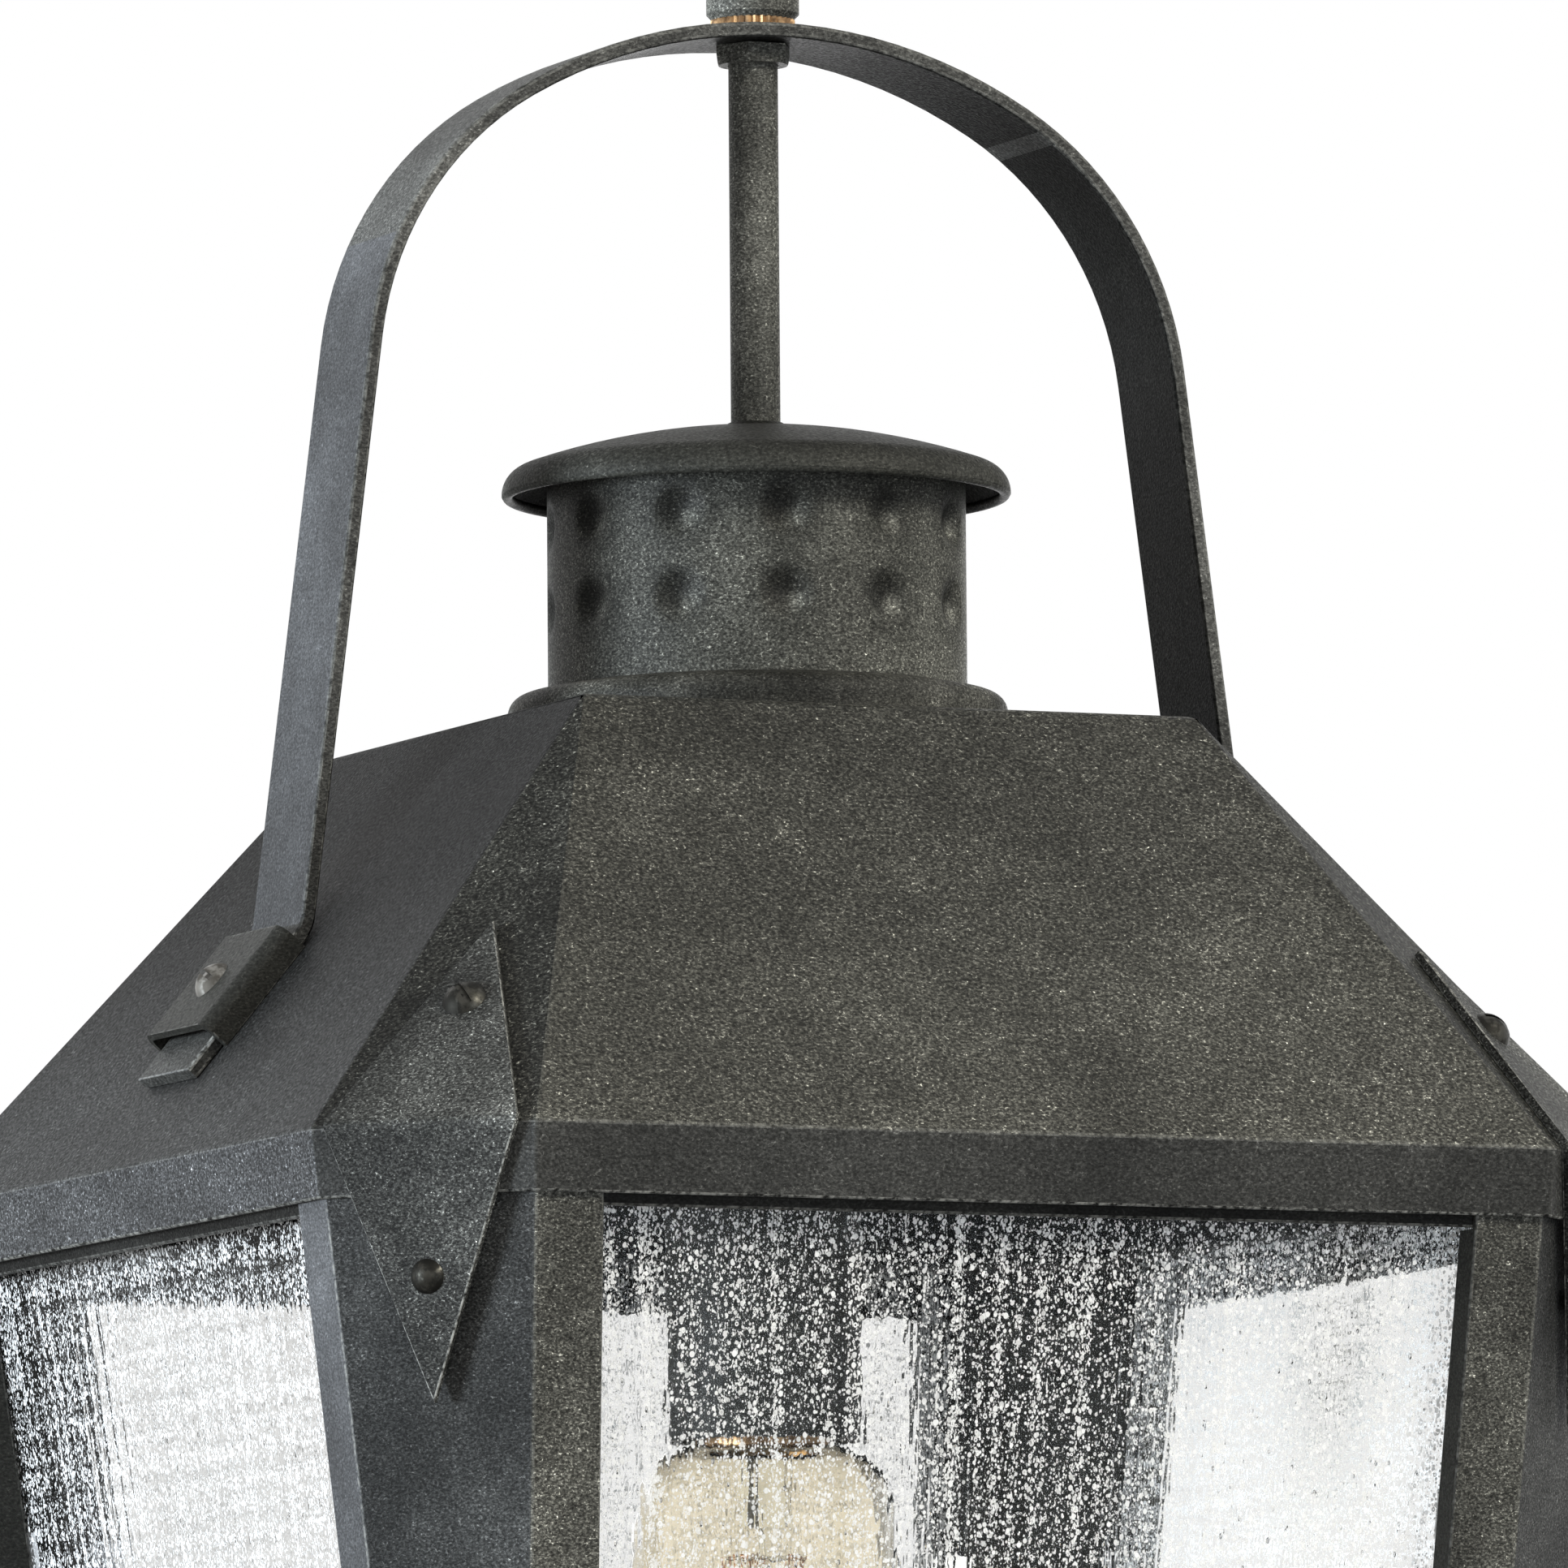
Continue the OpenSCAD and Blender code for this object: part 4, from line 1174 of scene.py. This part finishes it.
@dataclass
class Roof(Part):
    """Folded roof with its rim.

    Attributes:
        ease: width of the rounding in metres.
        hem: height under which the rim's lower edge lies, in metres.
        flat: heights between which the rim is flat, in metres.
        brow: height over which the slopes begin, in metres.
    """

    ease: float = 0.5 * MM
    hem: float = -286 * MM
    flat: tuple[float, float] = (-285 * MM, -277 * MM)
    brow: float = -272 * MM

    def roof_face(self, centre: Vector, normal: Vector) -> int:
        """Sorts a face of the roof.

        Args:
            centre: its centre.
            normal: its normal.

        Returns:
            0 on the front and back slopes and the top, 1 on the facets, 2 and 5 on the front and
            the sides of the rim, 3 on the left and right slopes and 4 inside.
        """
        if normal.z < -0.2 or normal.x * centre.x + normal.y * centre.y < -0.001:
            return 4
        if normal.z < 0.2:
            return 5 if abs(normal.x) > 0.9 else 2
        level = math.hypot(normal.x, normal.y)
        if level > 0.3 and min(abs(normal.x), abs(normal.y)) > 0.5 * level:
            return 1
        return 3 if level > 0.3 and abs(normal.x) > abs(normal.y) else 0

    def roof_rub(self, point: Vector) -> float:
        """Wear of the roof's edges, strongest along the rim.

        Args:
            point: centre of a rounded edge's face.

        Returns:
            The share of wear.
        """
        if point.z < self.hem:
            return 2.0
        on_flat = self.flat[0] <= point.z <= self.flat[1]
        return 0.05 if on_flat or point.z >= self.brow else 0.3

    def build(self) -> None:
        """Builds the eased roof."""
        sheet = EasedSheet(
            "roof_shell", self.ease, least=10 * MM, fold=15.0,
            sort=self.roof_face, wear_and_painted_light=self.roof_rub,
        )
        # the facets and the left and right slopes get darker copies of the coat, painted shade,
        # and the sides of the rim a lighter one, painted light
        self.dresser.replace(
            sheet.build(), "roof_shell",
            Coat.ROOF, Coat.PAINTED_SHADE_FACET, Coat.RIM, Coat.PAINTED_SHADE_SLOPE, Coat.SHADE, Coat.PAINTED_LIGHT_SIDE,
        )


class CornerKites(Part):
    """Bent corner straps with their fasteners."""

    def build(self) -> None:
        """Builds the eased kites and dresses their fasteners."""
        for corner in CORNERS:
            node = f"kite_{corner}"
            piece = EasedSheet(node, ease=0.35 * MM, least=3 * MM, fold=30.0).build()
            self.dresser.replace(piece, node, Coat.KITE)
        self.dresser.keep(Finish.SCREW, "kite_screws", "kite_rivets")
        self.dresser.keep(Finish.ZINC, "kite_nuts")


@dataclass
class Cage(Part):
    """Folded posts with the top frame and the bottom frame.

    Attributes:
        ease: width of the rounding in metres.
    """

    ease: float = 0.5 * MM

    @staticmethod
    def post_face(centre: Vector, normal: Vector) -> int:
        """Sorts a face of a post.

        Args:
            centre: its centre.
            normal: its normal.

        Returns:
            1 on the flange to the front or back, 3 on that to the side, 2 on the folds beside the
            glass and 0 on the chamfer.
        """
        out = normal.x * math.copysign(1, centre.x), normal.y * math.copysign(1, centre.y)
        if max(out) > 0.9:
            return 1 if out[1] > 0.9 else 3
        return 0 if min(out) > 0.4 else 2

    def build(self) -> None:
        """Builds the eased posts and frames."""
        for corner in CORNERS:
            node = f"post_{corner}"
            piece = EasedSheet(node, self.ease, least=20 * MM, sort=self.post_face).build()
            # the flanges to the side get a lighter copy of the coat, painted light
            self.dresser.replace(piece, node, Coat.POST, Coat.FLANGE, Coat.PLAIN, Coat.PAINTED_LIGHT_LEG)
        for node, coat in (("cage_top_frame", Coat.SHADE), ("bottom_frame", Coat.RIM)):
            piece = EasedSheet(node, self.ease, least=15 * MM).build()
            self.dresser.replace(piece, node, coat)


class Panes(Part):
    """Seeded panes and the clips that hold them."""

    def build(self) -> None:
        """Dresses the panes and lets light through them onto what they cover."""
        panes = [f"glass_{side}" for side in ("front", "back", "left", "right")]
        self.dresser.keep(Finish.PANE, *panes)
        for node in panes:
            frame["nodes"][node].visible_shadow = False
        self.dresser.keep(Finish.ZINC, "glass_clips")


class Socket(Part):
    """Cup, insulator and the metal of the socket."""

    def build(self) -> None:
        """Dresses the pieces."""
        self.dresser.keep(Coat.PLAIN, "socket_cup")
        self.dresser.keep(Finish.PORCELAIN, "socket_insulator")
        self.dresser.keep(Finish.BRASS, "socket_screw_shell", "socket_contact", "terminal_screws")
        self.dresser.keep(Finish.ZINC, "socket_strap", "socket_strap_screws")


class Lamp(Part):
    """Envelope, base and filament of the lamp."""

    def build(self) -> None:
        """Dresses the pieces."""
        self.dresser.keep(Finish.AMBER, "lamp_envelope")
        frame["nodes"]["lamp_envelope"].visible_shadow = False
        self.dresser.replace(ThreadedBase().build(), "lamp_base", Finish.OLD_BRASS)
        self.dresser.keep(Finish.BLACK, "lamp_base_insulator")
        self.dresser.keep(Finish.SOLDER, "lamp_contact")
        self.dresser.keep(Finish.CLEAR, "lamp_mount")
        self.dresser.keep(Finish.THREAD, "lamp_filament")


@dataclass(frozen=True)
class SoftLamp:
    """Round soft lamp of the studio.

    Attributes:
        name: name of the lamp.
        spot: its place in metres.
        size: its width in metres.
        power: its power in watts.
        colour: its colour.
    """

    name: str
    spot: Triple
    size: float
    power: float
    colour: Colour

    def hang(self, aim: Triple) -> None:
        """Adds the lamp, turned to a point.

        Args:
            aim: the point in metres.
        """
        data = bpy.data.lights.new(self.name, "AREA")
        data.shape, data.size = "DISK", self.size
        data.energy, data.color = self.power, self.colour
        lamp = bpy.data.objects.new(self.name, data)
        lamp.location = self.spot
        way = Vector(aim) - Vector(self.spot)
        lamp.rotation_euler = way.to_track_quat("-Z", "Y").to_euler()
        lamp.visible_camera = lamp.visible_transmission = False
        bpy.context.scene.collection.objects.link(lamp)


@dataclass
class Studio:
    """Camera, backdrop, floor and lamps.

    Attributes:
        lens: focal length in millimetres.
        sensor: width of the camera's frame in millimetres.
        clip: nearest and farthest distance that the camera sees, in metres.
        spot: place of the camera in metres.
        turn: its rotation in degrees.
        floor: height of the floor in metres.
        reach: radius of the floor in metres.
        soft: strength of the light from all round.
        white: strength of the backdrop that camera, gloss and glass see.
        aim: point that the lamps look at, in metres.
        lamps: the lamps.
    """

    lens: float = 401.9
    sensor: float = 36.0
    clip: tuple[float, float] = (0.1, 100.0)
    spot: Triple = (-1.43665, -3.30426, -0.55435)
    turn: Triple = (95.768, 0.4355, -23.539)
    floor: float = -5.0
    reach: float = 30.0
    soft: float = 0.5
    white: float = 1.0
    aim: Triple = (0.0, 0.0, -0.27)
    lamps: tuple[SoftLamp, ...] = (
        SoftLamp("key", (1.4, -2.5, 1.5), 1.3, 74.0, WARM_LIGHT),
        SoftLamp("low", (0.7, -3.0, -0.5), 1.0, 14.0, COOL_LIGHT),
        SoftLamp("side", (-3.0, 0.1, -0.3), 0.9, 112.0, COOL_LIGHT),
        SoftLamp("back", (1.4, 2.6, -0.3), 1.6, 16.0, WHITE),
    )

    def place_camera(self) -> None:
        """Puts the camera where the photograph was taken."""
        data = bpy.data.cameras.new("camera")
        data.lens = self.lens
        data.sensor_width = self.sensor
        data.clip_start, data.clip_end = self.clip
        camera = bpy.data.objects.new("camera", data)
        camera.location = self.spot
        camera.rotation_euler = [math.radians(angle) for angle in self.turn]
        bpy.context.scene.collection.objects.link(camera)
        bpy.context.scene.camera = camera

    def light_world(self) -> None:
        """Soft light from all round, white where the camera, gloss or glass looks at it."""
        world = bpy.data.worlds.new("studio")
        world.use_nodes = True
        tree = world.node_tree
        tree.nodes.clear()
        path = tree.nodes.new("ShaderNodeLightPath")
        seen = Shade(tree, path.outputs["Is Camera Ray"])
        seen = seen.larger(Shade(tree, path.outputs["Is Glossy Ray"]))
        seen = seen.larger(Shade(tree, path.outputs["Is Transmission Ray"]))
        blend = tree.nodes.new("ShaderNodeMixShader")
        tree.links.new(seen.socket, blend.inputs[0])
        for place, strength in ((1, self.soft), (2, self.white)):
            backdrop = tree.nodes.new("ShaderNodeBackground")
            backdrop.inputs["Color"].default_value = (*WHITE, 1.0)
            backdrop.inputs["Strength"].default_value = strength
            tree.links.new(backdrop.outputs[0], blend.inputs[place])
        out = tree.nodes.new("ShaderNodeOutputWorld")
        tree.links.new(blend.outputs[0], out.inputs["Surface"])
        bpy.context.scene.world = world

    def lay_floor(self) -> None:
        """Adds a wide round floor of pale card."""
        work = bmesh.new()
        bmesh.ops.create_circle(work, cap_ends=True, segments=96, radius=self.reach)
        floor = add_piece("floor", work, CREASE)
        floor.location.z = self.floor
        board = Board("pale_card")
        tooth = board.noise(board.place(), 2 * MM, 3.0)
        card = board.surface({
            "Base Color": board.mix(tooth, (0.86, 0.86, 0.86), (0.9, 0.9, 0.9)),
            "Roughness": 0.8,
            "Normal": board.bump(tooth, 0.1 * MM, 0.3),
        })
        floor.data.materials.append(card)

    def build(self) -> None:
        """Sets up the studio, the camera first."""
        self.place_camera()
        self.light_world()
        self.lay_floor()
        for lamp in self.lamps:
            lamp.hang(self.aim)
        bpy.context.scene.view_settings.view_transform = "Standard"


def main() -> None:
    Studio().build()
    dresser = Dresser()
    for part in (HangingTop, StrapArch, Chimney, Roof, CornerKites, Cage, Panes, Socket, Lamp):
        log.info("%s: %s", part.__name__, (part.__doc__ or "").splitlines()[0])
        part(dresser).build()


if __name__ == "__main__":
    main()
